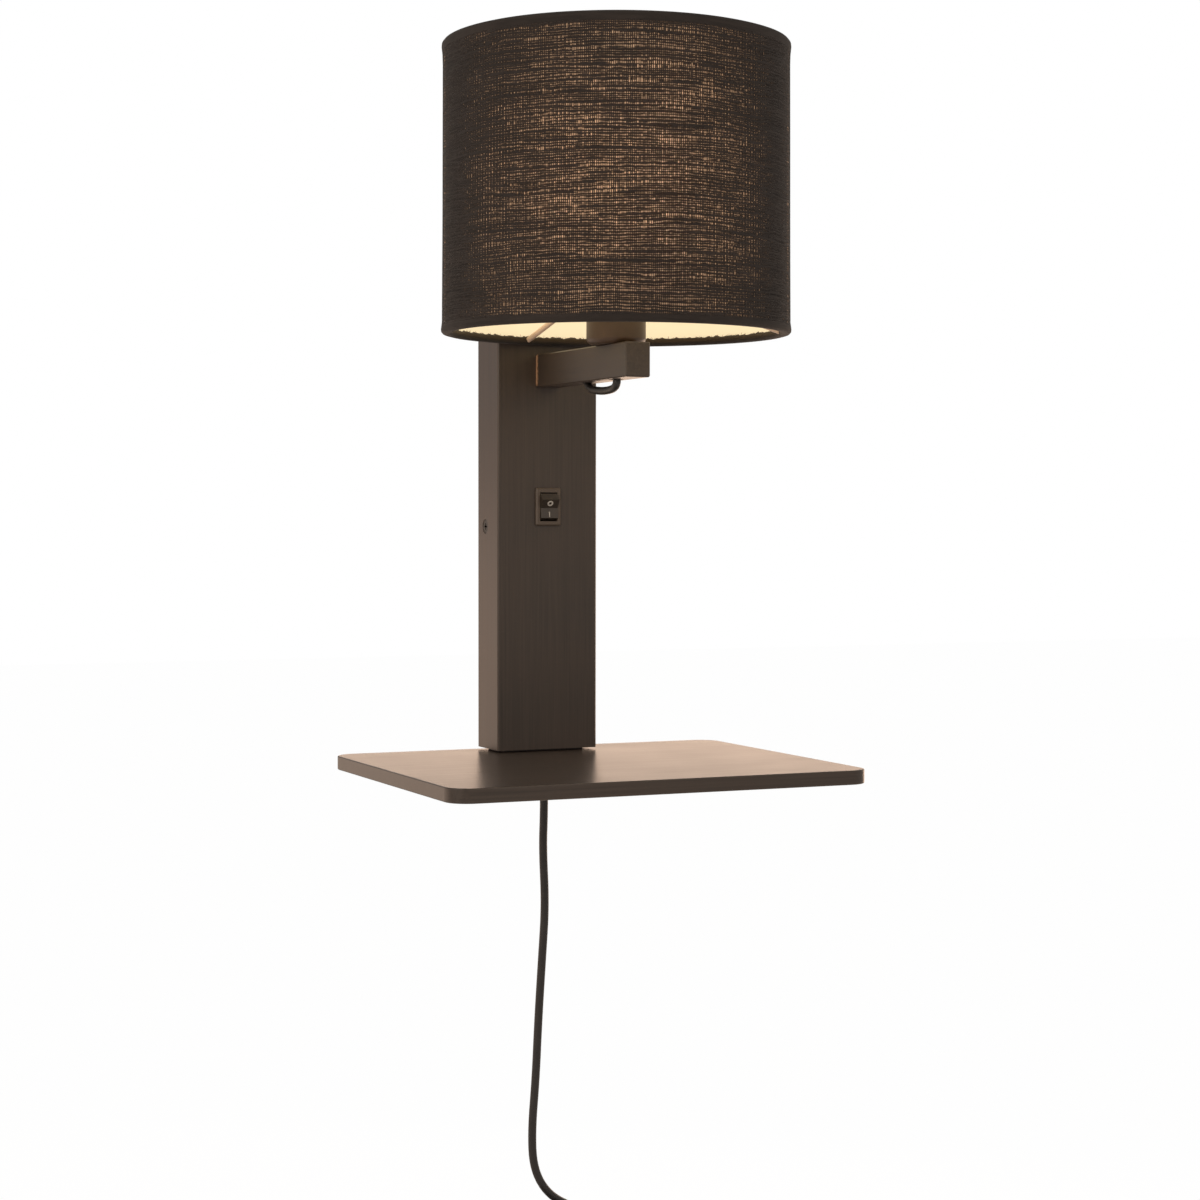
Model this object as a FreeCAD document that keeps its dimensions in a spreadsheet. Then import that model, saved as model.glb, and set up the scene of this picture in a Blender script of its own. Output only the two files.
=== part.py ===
import FreeCAD, Part
import math
import os
import re
import Sketcher
import sys
from FreeCAD import Placement, Rotation, Vector

# A wall lamp with a shelf: a wooden column hangs on a steel wall plate, a shelf is screwed under
# it, and an arm near its top carries a lamp holder and a round linen shade. A rocker switch is
# set in the column's front, and a mains lead hangs from under the shelf.
# Frame: the wall is the plane Y = 0, the room is on the side of -Y, +Z is up and +X is to the
# right of somebody who looks at the lamp. The origin is the middle of the wall plate's back.
# Millimetres and degrees throughout.

SIZES = [
    # Wall plate.
    ("plate_width", 42, "width of the plate's web"),
    ("plate_height", 88, "height of the plate's web"),
    ("plate_gauge", 1.5, "thickness of the steel"),
    ("ear_height", 20, "height of the two ears that the column is screwed to"),
    ("ear_reach", 18, "how far the ears reach from the wall"),
    ("wall_screw_spacing", 70, "distance between the two wall screws"),
    ("wall_screw_hole", 4.5, "diameter of the wall screws' holes"),
    # Column.
    ("column_width", 59.5, "outer width"),
    ("column_depth", 29.5, "outer depth, from the wall"),
    ("column_height", 236, "from the shelf to the column's top"),
    ("board", 6, "thickness of the column's boards"),
    ("column_bevel", 0.8, "bevel of the two front corners"),
    ("shadow_gap", 1.2, "height of the gap that the boards leave above the shelf"),
    ("foot_height", 14, "height of the block in the column's foot"),
    ("side_screw_depth", 10.5, "distance of the side screws from the wall"),
    # Shelf.
    ("shelf_drop", 125, "from the origin down to the shelf's top"),
    ("shelf_width", 232, "width"),
    ("shelf_depth", 188, "depth, from the wall"),
    ("shelf_thick", 7.5, "thickness"),
    ("shelf_corner", 12, "radius of the corners, seen from above"),
    ("shelf_edge", 0.7, "radius of the upper and lower edges"),
    ("shelf_screw_spacing", 30, "distance between the two screws from below"),
    ("shelf_screw_depth", 10, "distance of those screws from the wall"),
    # Arm.
    ("arm_width", 14, "width"),
    ("arm_height", 18, "height"),
    ("arm_drop", 16, "from the column's top down to the arm's top"),
    ("arm_end", 27, "how far the arm runs on past the lamp's axis"),
    ("arm_bevel", 0.6, "bevel of the edges"),
    ("lead_hole", 6.2, "diameter of the arm's bores for the lead"),
    ("riser_back", 37.5, "from the lamp's axis back to where the lead goes up into the arm"),
    ("arm_screw_offset", 5.6, "distance of the arm's screws from the bore's axis"),
    # Lamp holder.
    ("cup_diameter", 31, "outer diameter of the cup round the lamp holder"),
    ("cup_height", 30, "height"),
    ("cup_wall", 1.2, "wall"),
    ("cup_round", 3.2, "radius of the cup's lower edge"),
    ("nipple_diameter", 8, "outer diameter of the threaded tube"),
    ("nipple_bore", 6, "its bore"),
    ("nipple_depth", 16, "how deep it is screwed into the arm"),
    ("nipple_rise", 9, "how far it stands above the arm"),
    ("nut_flats", 13, "the nut's width across flats"),
    ("nut_height", 3.6, "the nut's height"),
    ("holder_diameter", 26, "diameter of the holder's body inside the cup"),
    ("holder_thread", 27.8, "diameter of the holder's outer thread"),
    ("holder_flange", 30.4, "diameter of the flange on the cup's rim"),
    ("flange_thick", 1.5, "thickness of that flange"),
    ("holder_mouth", 18.6, "diameter of the holder's mouth"),
    ("holder_rise", 16.5, "height of the threaded part above the flange"),
    ("shell_bore", 14.8, "bore of the holder's metal shell"),
    ("shell_wall", 0.8, "wall of the metal shell"),
    ("shell_height", 19, "height of the metal shell"),
    ("contact_height", 14.5, "from the arm's top to the floor of the holder's cavity"),
    ("clamp_ring_diameter", 38, "outer diameter of the ring that clamps the shade"),
    ("clamp_ring_height", 7, "height of that ring"),
    # Bulb.
    ("globe_diameter", 45, "diameter of the globe"),
    ("bulb_length", 78, "length from the contact to the globe's top"),
    ("glass_wall", 1, "wall of the globe"),
    ("cap_diameter", 13.8, "diameter of the screw cap"),
    ("cap_length", 22, "length of the screw cap"),
    ("cap_wall", 0.5, "wall of the screw cap"),
    ("board_sink", 2, "how far the light board's back lies below the globe's rim"),
    ("board_room", 0.3, "room round the light board"),
    # Shade.
    ("shade_diameter", 180, "outer diameter"),
    ("shade_height", 150, "height"),
    ("shade_gap", 1.5, "room between the column's front and the shade"),
    ("fitter_rise", 26.5, "from the shade's lower edge up to the fitter's seat"),
    ("fabric_thick", 0.7, "thickness of the linen"),
    ("lining_thick", 0.5, "thickness of the lining"),
    ("hem_depth", 5.6, "width of the hem that wraps a ring"),
    ("hem_turn", 4.5, "height of the hem's turned-in edge"),
    ("ring_wire", 2.8, "wire of the two rings"),
    ("fitter_wire", 3, "wire of the fitter's three arms"),
    ("fitter_plate", 37, "outer diameter of the fitter's plate"),
    ("fitter_thick", 1.5, "thickness of the fitter's plate"),
    ("fitter_turn", 99.7, "angle of the first fitter arm, from +X"),
    # Switch.
    ("switch_height", 11, "from the origin up to the switch's middle"),
    ("bezel_width", 15, "width of the frame"),
    ("bezel_height", 21, "height of the frame"),
    ("bezel_thick", 1.8, "how far the frame stands out of the column"),
    ("housing_width", 12.8, "width of the housing behind the frame"),
    ("housing_height", 18.8, "height of that housing"),
    ("housing_depth", 15.5, "its depth, from the column's front"),
    ("housing_floor", 1.2, "thickness of its floor"),
    ("rocker_width", 10.2, "width of the rocker"),
    ("rocker_reach", 7.85, "from the rocker's axis to its ends"),
    ("rocker_play", 0.15, "play of the rocker in the housing"),
    ("rocker_inset", 1, "how far the rocker's axis lies behind the column's front"),
    ("rocker_tilt", 12, "how far the rocker leans to each side"),
    ("rocker_pin", 2, "diameter of the rocker's pins"),
    ("plunger_diameter", 1.6, "diameter of the plunger that moves the contact"),
    ("plunger_reach", 7.4, "from the rocker's axis to the plunger's tip"),
    ("seesaw_depth", 8, "from the rocker's axis back to the contact's axis"),
    ("seesaw_reach", 5.5, "half the length of the moving contact"),
    ("seesaw_width", 4, "its width"),
    ("seesaw_thick", 0.5, "its thickness"),
    ("seesaw_bead", 0.8, "diameter of the rolled bead that it rocks on"),
    ("seesaw_tilt", 8, "how far it leans to each side"),
    ("blade_width", 4.8, "width of the terminals"),
    ("blade_thick", 0.8, "thickness of the terminals"),
    ("blade_length", 7, "length of the terminals behind the housing"),
    ("blade_spacing", 5, "distance between the terminals"),
    # Wiring.
    ("lead_diameter", 4.2, "the lead from the column to the lamp holder"),
    ("core_diameter", 2, "a single core inside the column"),
    ("block_width", 18, "terminal block, along X"),
    ("block_depth", 12, "terminal block, along Y"),
    ("block_height", 18, "terminal block, along Z"),
    ("block_bottom", 34, "from the origin up to the terminal block"),
    ("pole_spacing", 9, "distance between the block's two poles"),
    ("clamp_width", 20, "cord clamp, along X"),
    ("clamp_height", 8, "cord clamp, along Z"),
    ("clamp_depth", 10, "cord clamp, along Y"),
    ("clamp_rise", 12, "from the foot block up to the cord clamp"),
    ("tail_rise", 65, "from the shelf up to where the cord's sheath ends"),
    # Mains lead.
    ("cord_diameter", 4.6, "the mains lead"),
    ("cord_across", 2.7, "where the lead leaves the shelf, along X"),
    ("cord_depth", 18, "where the lead leaves the shelf, from the wall"),
    ("cord_hole", 8, "hole in the shelf for the strain relief"),
    ("foot_hole", 6.4, "hole in the foot block for the lead"),
    ("relief_length", 19, "length of the strain relief's taper"),
    ("relief_wide", 9.4, "its diameter at the shelf"),
    ("relief_slim", 5.6, "its diameter at the tip"),
    ("relief_flange", 13, "diameter of its flange"),
    ("relief_flange_thick", 1.5, "thickness of its flange"),
    ("coil_middle", 50.6, "diameter of the coil at the middle of its turns"),
    ("coil_gap", 0.55, "room between two turns"),
    ("coil_turns", 9, "whole turns of the coil"),
    ("coil_layers", 4, "layers of the coil"),
    ("coil_tail", 20, "straight end of the coil, down to the plug"),
    ("tie_width", 4, "width of the tie"),
    ("tie_thick", 1, "thickness of the tie"),
    ("tie_turn", 125, "where the tie goes round the coil, as an angle from +X"),
    ("boot_length", 22, "length of the plug's strain relief"),
    ("plug_width", 35.3, "width of the plug"),
    ("plug_thick", 13.7, "thickness of the plug"),
    ("plug_length", 36, "length of the plug's body"),
    ("plug_shoulder", 14, "height of the plug's straight sides"),
    ("plug_neck", 12, "width of the plug at its boot"),
    ("pin_diameter", 4, "diameter of the pins"),
    ("pin_length", 19, "length of the pins"),
    ("pin_spacing", 19, "distance between the pins"),
    # Fasteners and fits.
    ("screw_shank", 3, "shank of the wood screws"),
    ("screw_head", 6, "head of the wood screws"),
    ("screw_sink", 1.7, "height of a sunk head"),
    ("machine_screw", 3.9, "shank of the two side screws"),
    ("machine_head", 7.4, "head of the two side screws"),
    ("machine_sink", 2.2, "height of their heads"),
    ("small_screw", 2.5, "shank of the terminal and clamp screws"),
    ("small_head", 4.4, "head of the terminal and clamp screws"),
    ("clearance", 0.1, "room round a screw or tube in its hole, all round twice this"),
]

# Sizes that follow from those.
DERIVED = [
    ("arm_top", "column_height - shelf_drop - arm_drop", "from the origin up to the arm's top"),
    ("lamp_reach", "column_depth + shade_gap + shade_diameter / 2", "from the wall to the lamp's axis"),
    ("arm_reach", "lamp_reach + arm_end", "from the wall to the arm's end"),
    ("riser_reach", "lamp_reach - riser_back", "from the wall to where the lead goes up"),
]

doc = FreeCAD.newDocument("wall_lamp_with_shelf")
sheet = doc.addObject("Spreadsheet::Sheet", "sizes")
derived = doc.addObject("App::VarSet", "derived")
holders = {}


def fill_sheet():
    """Write every size with its note and its alias, and bind the derived ones to them."""
    for row, (alias, number, note) in enumerate(SIZES, 1):
        sheet.set("A%d" % row, note)
        sheet.set("B%d" % row, str(number))
        sheet.setAlias("B%d" % row, alias)
        holders[alias] = "sizes."
    doc.recompute()
    for name, text, note in DERIVED:
        derived.addProperty("App::PropertyFloat", name, "Derived", note)
        bind(derived, name, text)
        holders[name] = "derived."
    doc.recompute()


def size(name):
    """A size, or a derived one, as a plain number."""
    return float(sheet.get(name)) if holders[name] == "sizes." else getattr(derived, name)


def formula(text):
    """Turn a text such as 'board / 2' into an expression on the sheet."""
    return re.sub(r"[a-z]\w*", lambda word: holders.get(word.group(0), "") + word.group(0), text)


def bind(thing, prop, text):
    thing.setExpression(prop, formula(text))


def place(thing, x="0", y="0", z="0", turn=None):
    """Put a piece at a place that is bound to the sheet."""
    if turn:
        thing.Placement = Placement(Vector(), turn)
    for axis, text in zip("xyz", (x, y, z)):
        bind(thing, "Placement.Base." + axis, text)
    return thing


# Heights and depths that several pieces share.
SHELF_TOP = "(-shelf_drop)"
SHELF_UNDER = "(-shelf_drop - shelf_thick)"
COLUMN_TOP = "(column_height - shelf_drop)"
COLUMN_BACK = "(board - column_depth)"
INNER_HALF = "(column_width / 2 - board)"
ARM_UNDER = "(arm_top - arm_height)"
BORE_HEIGHT = "(arm_top - arm_height / 2)"
SEAT = "(arm_top + cup_height + flange_thick)"
SHADE_LOW = "(arm_top + cup_height + flange_thick - fitter_rise)"
SHADE_R = "(shade_diameter / 2)"
RING_R = "(shade_diameter / 2 - hem_depth + fabric_thick + ring_wire / 2 + clearance)"
RING_RISE = "(fabric_thick + ring_wire / 2 + clearance)"
PIVOT_Y = "(rocker_inset - column_depth)"
SEESAW_Y = "(rocker_inset - column_depth + seesaw_depth)"
BULB_TIP = "(arm_top + contact_height + 2.2)"
GLOBE_Z = "(arm_top + contact_height + 2.2 + bulb_length - globe_diameter / 2)"
CLAMP_Z = "(-shelf_drop + foot_height + clamp_rise)"

ALONG_X = Rotation(Vector(0, 1, 0), 90)
ALONG_MINUS_X = Rotation(Vector(0, 1, 0), -90)
TOWARDS_ROOM = Rotation(Vector(1, 0, 0), 90)
TOWARDS_WALL = Rotation(Vector(1, 0, 0), -90)
UPSIDE_DOWN = Rotation(Vector(1, 0, 0), 180)

subparts = []


def piece(thing, label):
    """Name a finished sub-part, which also names its file."""
    thing.Label = label
    subparts.append(thing)
    return thing


def box(x, y, z, length, width, height):
    """A block from its lowest corner."""
    block = doc.addObject("Part::Box", "block")
    for prop, text in (("Length", length), ("Width", width), ("Height", height)):
        bind(block, prop, text)
    return place(block, x, y, z)


def rod(radius, height, x="0", y="0", z="0", turn=None):
    """A cylinder from the middle of its first face, along Z or as turned."""
    cylinder = doc.addObject("Part::Cylinder", "rod")
    bind(cylinder, "Radius", radius)
    bind(cylinder, "Height", height)
    return place(cylinder, x, y, z, turn)


def taper(radius, end_radius, height, x="0", y="0", z="0", turn=None):
    """A cone from the middle of its first face."""
    cone = doc.addObject("Part::Cone", "taper")
    bind(cone, "Radius1", radius)
    bind(cone, "Radius2", end_radius)
    bind(cone, "Height", height)
    return place(cone, x, y, z, turn)


def ring(radius, wire, x, y, z):
    torus = doc.addObject("Part::Torus", "ring")
    bind(torus, "Radius1", radius)
    bind(torus, "Radius2", wire)
    return place(torus, x, y, z)


def cut(base, *tools):
    result = doc.addObject("Part::Cut", "cut")
    result.Base = base
    if len(tools) == 1:
        result.Tool = tools[0]
    else:
        together = doc.addObject("Part::Compound", "tools")
        together.Links = list(tools)
        result.Tool = together
    return result


def join(*things):
    result = doc.addObject("Part::MultiFuse", "joined")
    result.Shapes = list(things)
    return result


def group(*things):
    """Several separate solids in one node."""
    result = doc.addObject("Part::Compound", "group")
    result.Links = list(things)
    return result


def outline(body, plane, points, lift="0"):
    """A closed sketch of straight lines whose corners are bound to the sheet."""
    sketch = body.newObject("Sketcher::SketchObject", "outline")
    support = [item for item in body.Origin.OriginFeatures if item.Role == plane][0]
    sketch.AttachmentSupport = [(support, "")]
    sketch.MapMode = "FlatFace"
    bind(sketch, ".AttachmentOffset.Base.z", lift)
    count = len(points)
    start = [Vector(10 * math.cos(2 * math.pi * i / count), 10 * math.sin(2 * math.pi * i / count), 0)
             for i in range(count)]
    for i in range(count):
        sketch.addGeometry(Part.LineSegment(start[i], start[(i + 1) % count]), False)
    for i in range(count):
        sketch.addConstraint(Sketcher.Constraint("Coincident", i, 2, (i + 1) % count, 1))
    for i, corner in enumerate(points):
        for kind, first, text in (("DistanceX", start[i].x, corner[0]),
                                  ("DistanceY", start[i].y, corner[1])):
            number = sketch.addConstraint(Sketcher.Constraint(kind, -1, 1, i, 1, first))
            bind(sketch, "Constraints[%d]" % number, text)
    return sketch


def padded(plane, points, length, lift="0"):
    """A body made by pushing an outline out along its plane's normal."""
    body = doc.addObject("PartDesign::Body", "body")
    pad = body.newObject("PartDesign::Pad", "pad")
    pad.Profile = outline(body, plane, points, lift)
    bind(pad, "Length", length)
    body.Tip = pad
    return body


def turned(points, x="0", y="0", z="0", turn=None):
    """A body turned round an upright axis, from an outline of radius and height."""
    body = doc.addObject("PartDesign::Body", "body")
    sketch = outline(body, "XZ_Plane", points)
    revolution = body.newObject("PartDesign::Revolution", "revolution")
    revolution.Profile = sketch
    revolution.ReferenceAxis = (sketch, ["V_Axis"])
    revolution.Angle = 360
    body.Tip = revolution
    return place(body, x, y, z, turn)


def soften(body, kind, radius, chosen):
    """Round or bevel the edges of a body that a test chooses."""
    doc.recompute()
    base = body.Tip
    names = ["Edge%d" % (i + 1) for i, edge in enumerate(base.Shape.Edges) if chosen(edge)]
    feature = body.newObject("PartDesign::" + kind, kind.lower())
    feature.Base = (base, names)
    bind(feature, "Radius" if kind == "Fillet" else "Size", radius)
    body.Tip = feature
    return body


def runs_along(edge, axis):
    """True for a straight edge along the axis."""
    if not isinstance(edge.Curve, Part.Line):
        return False
    return abs(abs(edge.Curve.Direction.dot(axis)) - 1) < 1e-6


def lies_in(edge, axis, height):
    """True for an edge that lies in the plane at this height of the axis."""
    return all(abs(vertex.Point.dot(axis) - height) < 1e-4 for vertex in edge.Vertexes)


X, Y, Z = Vector(1, 0, 0), Vector(0, 1, 0), Vector(0, 0, 1)


def sunk_screw(length, shank, head, sink, x, y, z, turn):
    """A sunk screw with a cross recess, its head's face at the place given and its shank
    along its own -Z."""
    shaft = turned([("0", "0"), (head + " / 2", "0"), (shank + " / 2", "-" + sink),
                    (shank + " / 2", "1 - " + length), (shank + " / 4", "-" + length),
                    ("0", "-" + length)])
    slots = [box("-%s / 4" % head, "-0.5", "-1.2", head + " / 2", "1", "2"),
             box("-0.5", "-%s / 4" % head, "-1.2", "1", head + " / 2", "2")]
    return place(cut(shaft, *slots), x, y, z, turn)


def domed_screw(length, shank, head, rise, x, y, z, turn):
    """A screw whose head stands on the surface at the place given, with a straight slot."""
    shaft = turned([("0", rise), (head + " / 3", rise), (head + " / 2", rise + " / 2"),
                    (head + " / 2", "0"), (shank + " / 2", "0"), (shank + " / 2", "-" + length),
                    ("0", "-" + length)])
    slot = box("-%s" % head, "-0.3", rise + " / 2", "2 * " + head, "0.6", rise)
    return place(cut(shaft, slot), x, y, z, turn)


def make_wall_plate():
    web = box("-plate_width / 2", "-plate_gauge", "-plate_height / 2",
              "plate_width", "plate_gauge", "plate_height")
    ears = []
    for low in ("-%s + 2 * clearance" % INNER_HALF, "%s - 2 * clearance - plate_gauge" % INNER_HALF):
        ears.append(box(low, "-ear_reach", "-ear_height / 2", "plate_gauge", "ear_reach", "ear_height"))
    feet = [box("-%s + 2 * clearance" % INNER_HALF, "-plate_gauge", "-ear_height / 2",
                "column_width - 2 * board - 4 * clearance", "plate_gauge", "ear_height")]
    holes = [rod("wall_screw_hole / 2", "3 * plate_gauge", "0", "plate_gauge",
                 "%s wall_screw_spacing / 2" % sign, TOWARDS_ROOM) for sign in ("-", "")]
    holes.append(rod("machine_screw / 2 + clearance / 2", "column_width", "-column_width / 2",
                     "-side_screw_depth", "0", ALONG_X))
    piece(cut(join(web, *(ears + feet)), *holes), "wall_plate")


def make_side_screws():
    screws = []
    for sign, turn in (("-", ALONG_MINUS_X), ("", ALONG_X)):
        screws.append(sunk_screw("(board + plate_gauge + 3)", "machine_screw", "machine_head",
                                 "machine_sink", "%s(column_width / 2 - 0.3)" % sign,
                                 "-side_screw_depth", "0", turn))
    piece(group(*screws), "side_screws")


def board_height():
    return "column_height - shadow_gap"


def make_column_front():
    half, bevel = "column_width / 2", "column_bevel"
    corners = [("-%s + %s" % (half, bevel), "-column_depth"), ("%s - %s" % (half, bevel), "-column_depth"),
               ("%s - %s / 2" % (half, bevel), "%s / 2 - column_depth" % bevel),
               (INNER_HALF, COLUMN_BACK), ("-" + INNER_HALF, COLUMN_BACK),
               ("-%s + %s / 2" % (half, bevel), "%s / 2 - column_depth" % bevel)]
    front = padded("XY_Plane", corners, board_height(), SHELF_TOP + " + shadow_gap")
    through = "board + 2"
    holes = [box("-housing_width / 2 - clearance", "-column_depth - 1",
                 "switch_height - housing_height / 2 - clearance", "housing_width + 2 * clearance",
                 through, "housing_height + 2 * clearance"),
             rod("lead_hole / 2", through, "0", COLUMN_BACK + " + 1", BORE_HEIGHT, TOWARDS_ROOM)]
    for sign in ("-", "+"):
        holes.append(rod("screw_shank / 2 + clearance / 2", through, "0", COLUMN_BACK + " + 1",
                         "%s %s arm_screw_offset" % (BORE_HEIGHT, sign), TOWARDS_ROOM))
        holes.append(rod("small_screw / 2 + clearance / 2", "4", "cord_across %s clamp_width / 3" % sign,
                         COLUMN_BACK + " + 1", CLAMP_Z + " + clamp_height / 2", TOWARDS_ROOM))
    holes.append(rod("small_screw / 2 + clearance / 2", "4", "0", COLUMN_BACK + " + 1",
                     "block_bottom + block_height / 2", TOWARDS_ROOM))
    piece(cut(front, *holes), "column_front")


def make_column_side(label, sign, turn):
    def across(text):
        return "%s(%s)" % (sign, text)

    corners = [(across("column_width / 2"), "column_bevel - column_depth"),
               (across("column_width / 2"), "0"), (across(INNER_HALF), "0"),
               (across(INNER_HALF), COLUMN_BACK),
               (across("column_width / 2 - column_bevel / 2"), "column_bevel / 2 - column_depth")]
    side = padded("XY_Plane", corners, board_height(), SHELF_TOP + " + shadow_gap")
    hole = rod("machine_screw / 2 + clearance", "board + 2", across(INNER_HALF + " - 1"),
               "-side_screw_depth", "0", turn)
    sink = taper("machine_screw / 2 + clearance", "machine_head / 2 + clearance + 0.3",
                 "machine_sink + 0.3", across("column_width / 2 - 0.3 - machine_sink"),
                 "-side_screw_depth", "0", turn)
    piece(cut(side, hole, sink), label)


def make_column_blocks():
    depth = "column_depth - board"
    width = "column_width - 2 * board"
    piece(box("-" + INNER_HALF, COLUMN_BACK, COLUMN_TOP + " - board", width, depth, "board"),
          "column_cap")
    block = box("-" + INNER_HALF, COLUMN_BACK, SHELF_TOP, width, depth, "foot_height")
    holes = [rod("foot_hole / 2", "foot_height + 2", "cord_across", "-cord_depth", SHELF_TOP + " - 1")]
    for sign in ("-", ""):
        holes.append(rod("screw_shank / 2 + clearance / 2", "foot_height + 2",
                         "%s shelf_screw_spacing / 2" % sign, "-shelf_screw_depth", SHELF_TOP + " - 1"))
    piece(cut(block, *holes), "column_foot")


def make_shelf():
    half = "shelf_width / 2"
    corners = [("-" + half, "-shelf_depth"), (half, "-shelf_depth"), (half, "0"), ("-" + half, "0")]
    board = padded("XY_Plane", corners, "shelf_thick", SHELF_UNDER)
    soften(board, "Fillet", "shelf_corner", lambda edge: runs_along(edge, Z))
    top, under = -size("shelf_drop"), -size("shelf_drop") - size("shelf_thick")
    soften(board, "Fillet", "shelf_edge",
           lambda edge: lies_in(edge, Z, top) or lies_in(edge, Z, under))
    holes = [rod("cord_hole / 2", "shelf_thick + 2", "cord_across", "-cord_depth", SHELF_UNDER + " - 1")]
    screws = []
    for sign in ("-", ""):
        x = "%s shelf_screw_spacing / 2" % sign
        holes.append(rod("screw_shank / 2 + clearance", "shelf_thick + 2", x, "-shelf_screw_depth",
                         SHELF_UNDER + " - 1"))
        holes.append(taper("screw_head / 2 + clearance + 0.3", "screw_shank / 2 + clearance",
                           "screw_sink + 0.3", x, "-shelf_screw_depth", SHELF_UNDER))
        screws.append(sunk_screw("(shelf_thick + foot_height - 3)", "screw_shank", "screw_head",
                                 "screw_sink", x, "-shelf_screw_depth", SHELF_UNDER + " + 0.3",
                                 UPSIDE_DOWN))
    piece(cut(board, *holes), "shelf_board")
    piece(group(*screws), "shelf_screws")


def make_arm():
    half = "arm_width / 2"
    corners = [("-" + half, ARM_UNDER), (half, ARM_UNDER), (half, "arm_top"), ("-" + half, "arm_top")]
    arm = padded("XZ_Plane", corners, "arm_reach - column_depth", "column_depth")
    end = size("arm_reach")
    soften(arm, "Chamfer", "arm_bevel",
           lambda edge: runs_along(edge, Y) or lies_in(edge, -Y, end))
    holes = [rod("nipple_diameter / 2 + clearance / 2", "arm_height + 2", "0", "-lamp_reach",
                 ARM_UNDER + " - 1"),
             rod("lead_hole / 2", "riser_reach - column_depth + 3", "0", "-column_depth + 1",
                 BORE_HEIGHT, TOWARDS_ROOM),
             rod("lead_hole / 2", "arm_height / 2 + 1", "0", "-riser_reach", ARM_UNDER + " - 1")]
    screws = []
    for sign in ("-", "+"):
        height = "%s %s arm_screw_offset" % (BORE_HEIGHT, sign)
        holes.append(rod("screw_shank / 2 + clearance / 2", "22", "0", "-column_depth + 1", height,
                         TOWARDS_ROOM))
        screws.append(domed_screw("(board + 18)", "screw_shank", "screw_head", "2.4", "0",
                                  COLUMN_BACK, height, TOWARDS_WALL))
    piece(cut(arm, *holes), "lamp_arm")
    piece(group(*screws), "arm_screws")


def make_lamp_holder():
    at = ("0", "-lamp_reach", "arm_top")
    hole = "nipple_diameter / 2 + clearance / 2"
    outer = "cup_diameter / 2"
    cup = turned([(hole, "0"), (outer, "0"), (outer, "cup_height"),
                  (outer + " - cup_wall", "cup_height"), (outer + " - cup_wall", "cup_wall"),
                  (hole, "cup_wall")], *at)
    wide = size("cup_diameter") / 2
    soften(cup, "Fillet", "cup_round", lambda edge: lies_in(edge, Z, 0)
           and isinstance(edge.Curve, Part.Circle) and abs(edge.Curve.Radius - wide) < 1e-4)
    piece(cup, "socket_cup")

    piece(turned([("nipple_bore / 2", "-nipple_depth"), ("nipple_diameter / 2", "-nipple_depth"),
                  ("nipple_diameter / 2", "nipple_rise"), ("nipple_bore / 2", "nipple_rise")], *at),
          "threaded_nipple")

    hexagon = doc.addObject("Part::Prism", "nut")
    hexagon.Polygon = 6
    bind(hexagon, "Circumradius", "nut_flats / 1.7320508")
    bind(hexagon, "Height", "nut_height")
    place(hexagon, "0", "-lamp_reach", "arm_top + cup_wall")
    piece(cut(hexagon, rod(hole, "3 * nut_height", "0", "-lamp_reach", "arm_top")), "nipple_nut")

    low = "cup_wall + nut_height + clearance"
    seat = "cup_height"
    top = "cup_height + flange_thick + holder_rise"
    piece(turned([(hole, low), ("holder_diameter / 2", low), ("holder_diameter / 2", seat),
                  ("holder_flange / 2", seat), ("holder_flange / 2", seat + " + flange_thick"),
                  ("holder_thread / 2", seat + " + flange_thick"), ("holder_thread / 2", top),
                  ("holder_mouth / 2", top), ("holder_mouth / 2", "contact_height"),
                  (hole, "contact_height")], *at), "holder_body")

    piece(turned([("0", "contact_height"), ("6", "contact_height"), ("6", "contact_height + 0.6"),
                  ("2.4", "contact_height + 0.6"), ("1.6", "contact_height + 2.1"),
                  ("0", "contact_height + 2.1")], *at), "holder_contact")

    inner = "shell_bore / 2"
    shell_low = "contact_height + 1.2"
    piece(turned([(inner, shell_low), (inner + " + shell_wall", shell_low),
                  (inner + " + shell_wall", shell_low + " + shell_height - 1"),
                  ("holder_mouth / 2 - clearance", shell_low + " + shell_height - 1"),
                  ("holder_mouth / 2 - clearance", shell_low + " + shell_height"),
                  (inner, shell_low + " + shell_height")], *at), "holder_shell")

    ring_low = SEAT + " + fitter_thick"
    piece(turned([("holder_thread / 2 + clearance", "0"), ("clamp_ring_diameter / 2 - 1", "0"),
                  ("clamp_ring_diameter / 2", "1"), ("clamp_ring_diameter / 2", "clamp_ring_height"),
                  ("holder_thread / 2 + clearance", "clamp_ring_height")],
                 "0", "-lamp_reach", ring_low), "clamp_ring")


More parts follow.
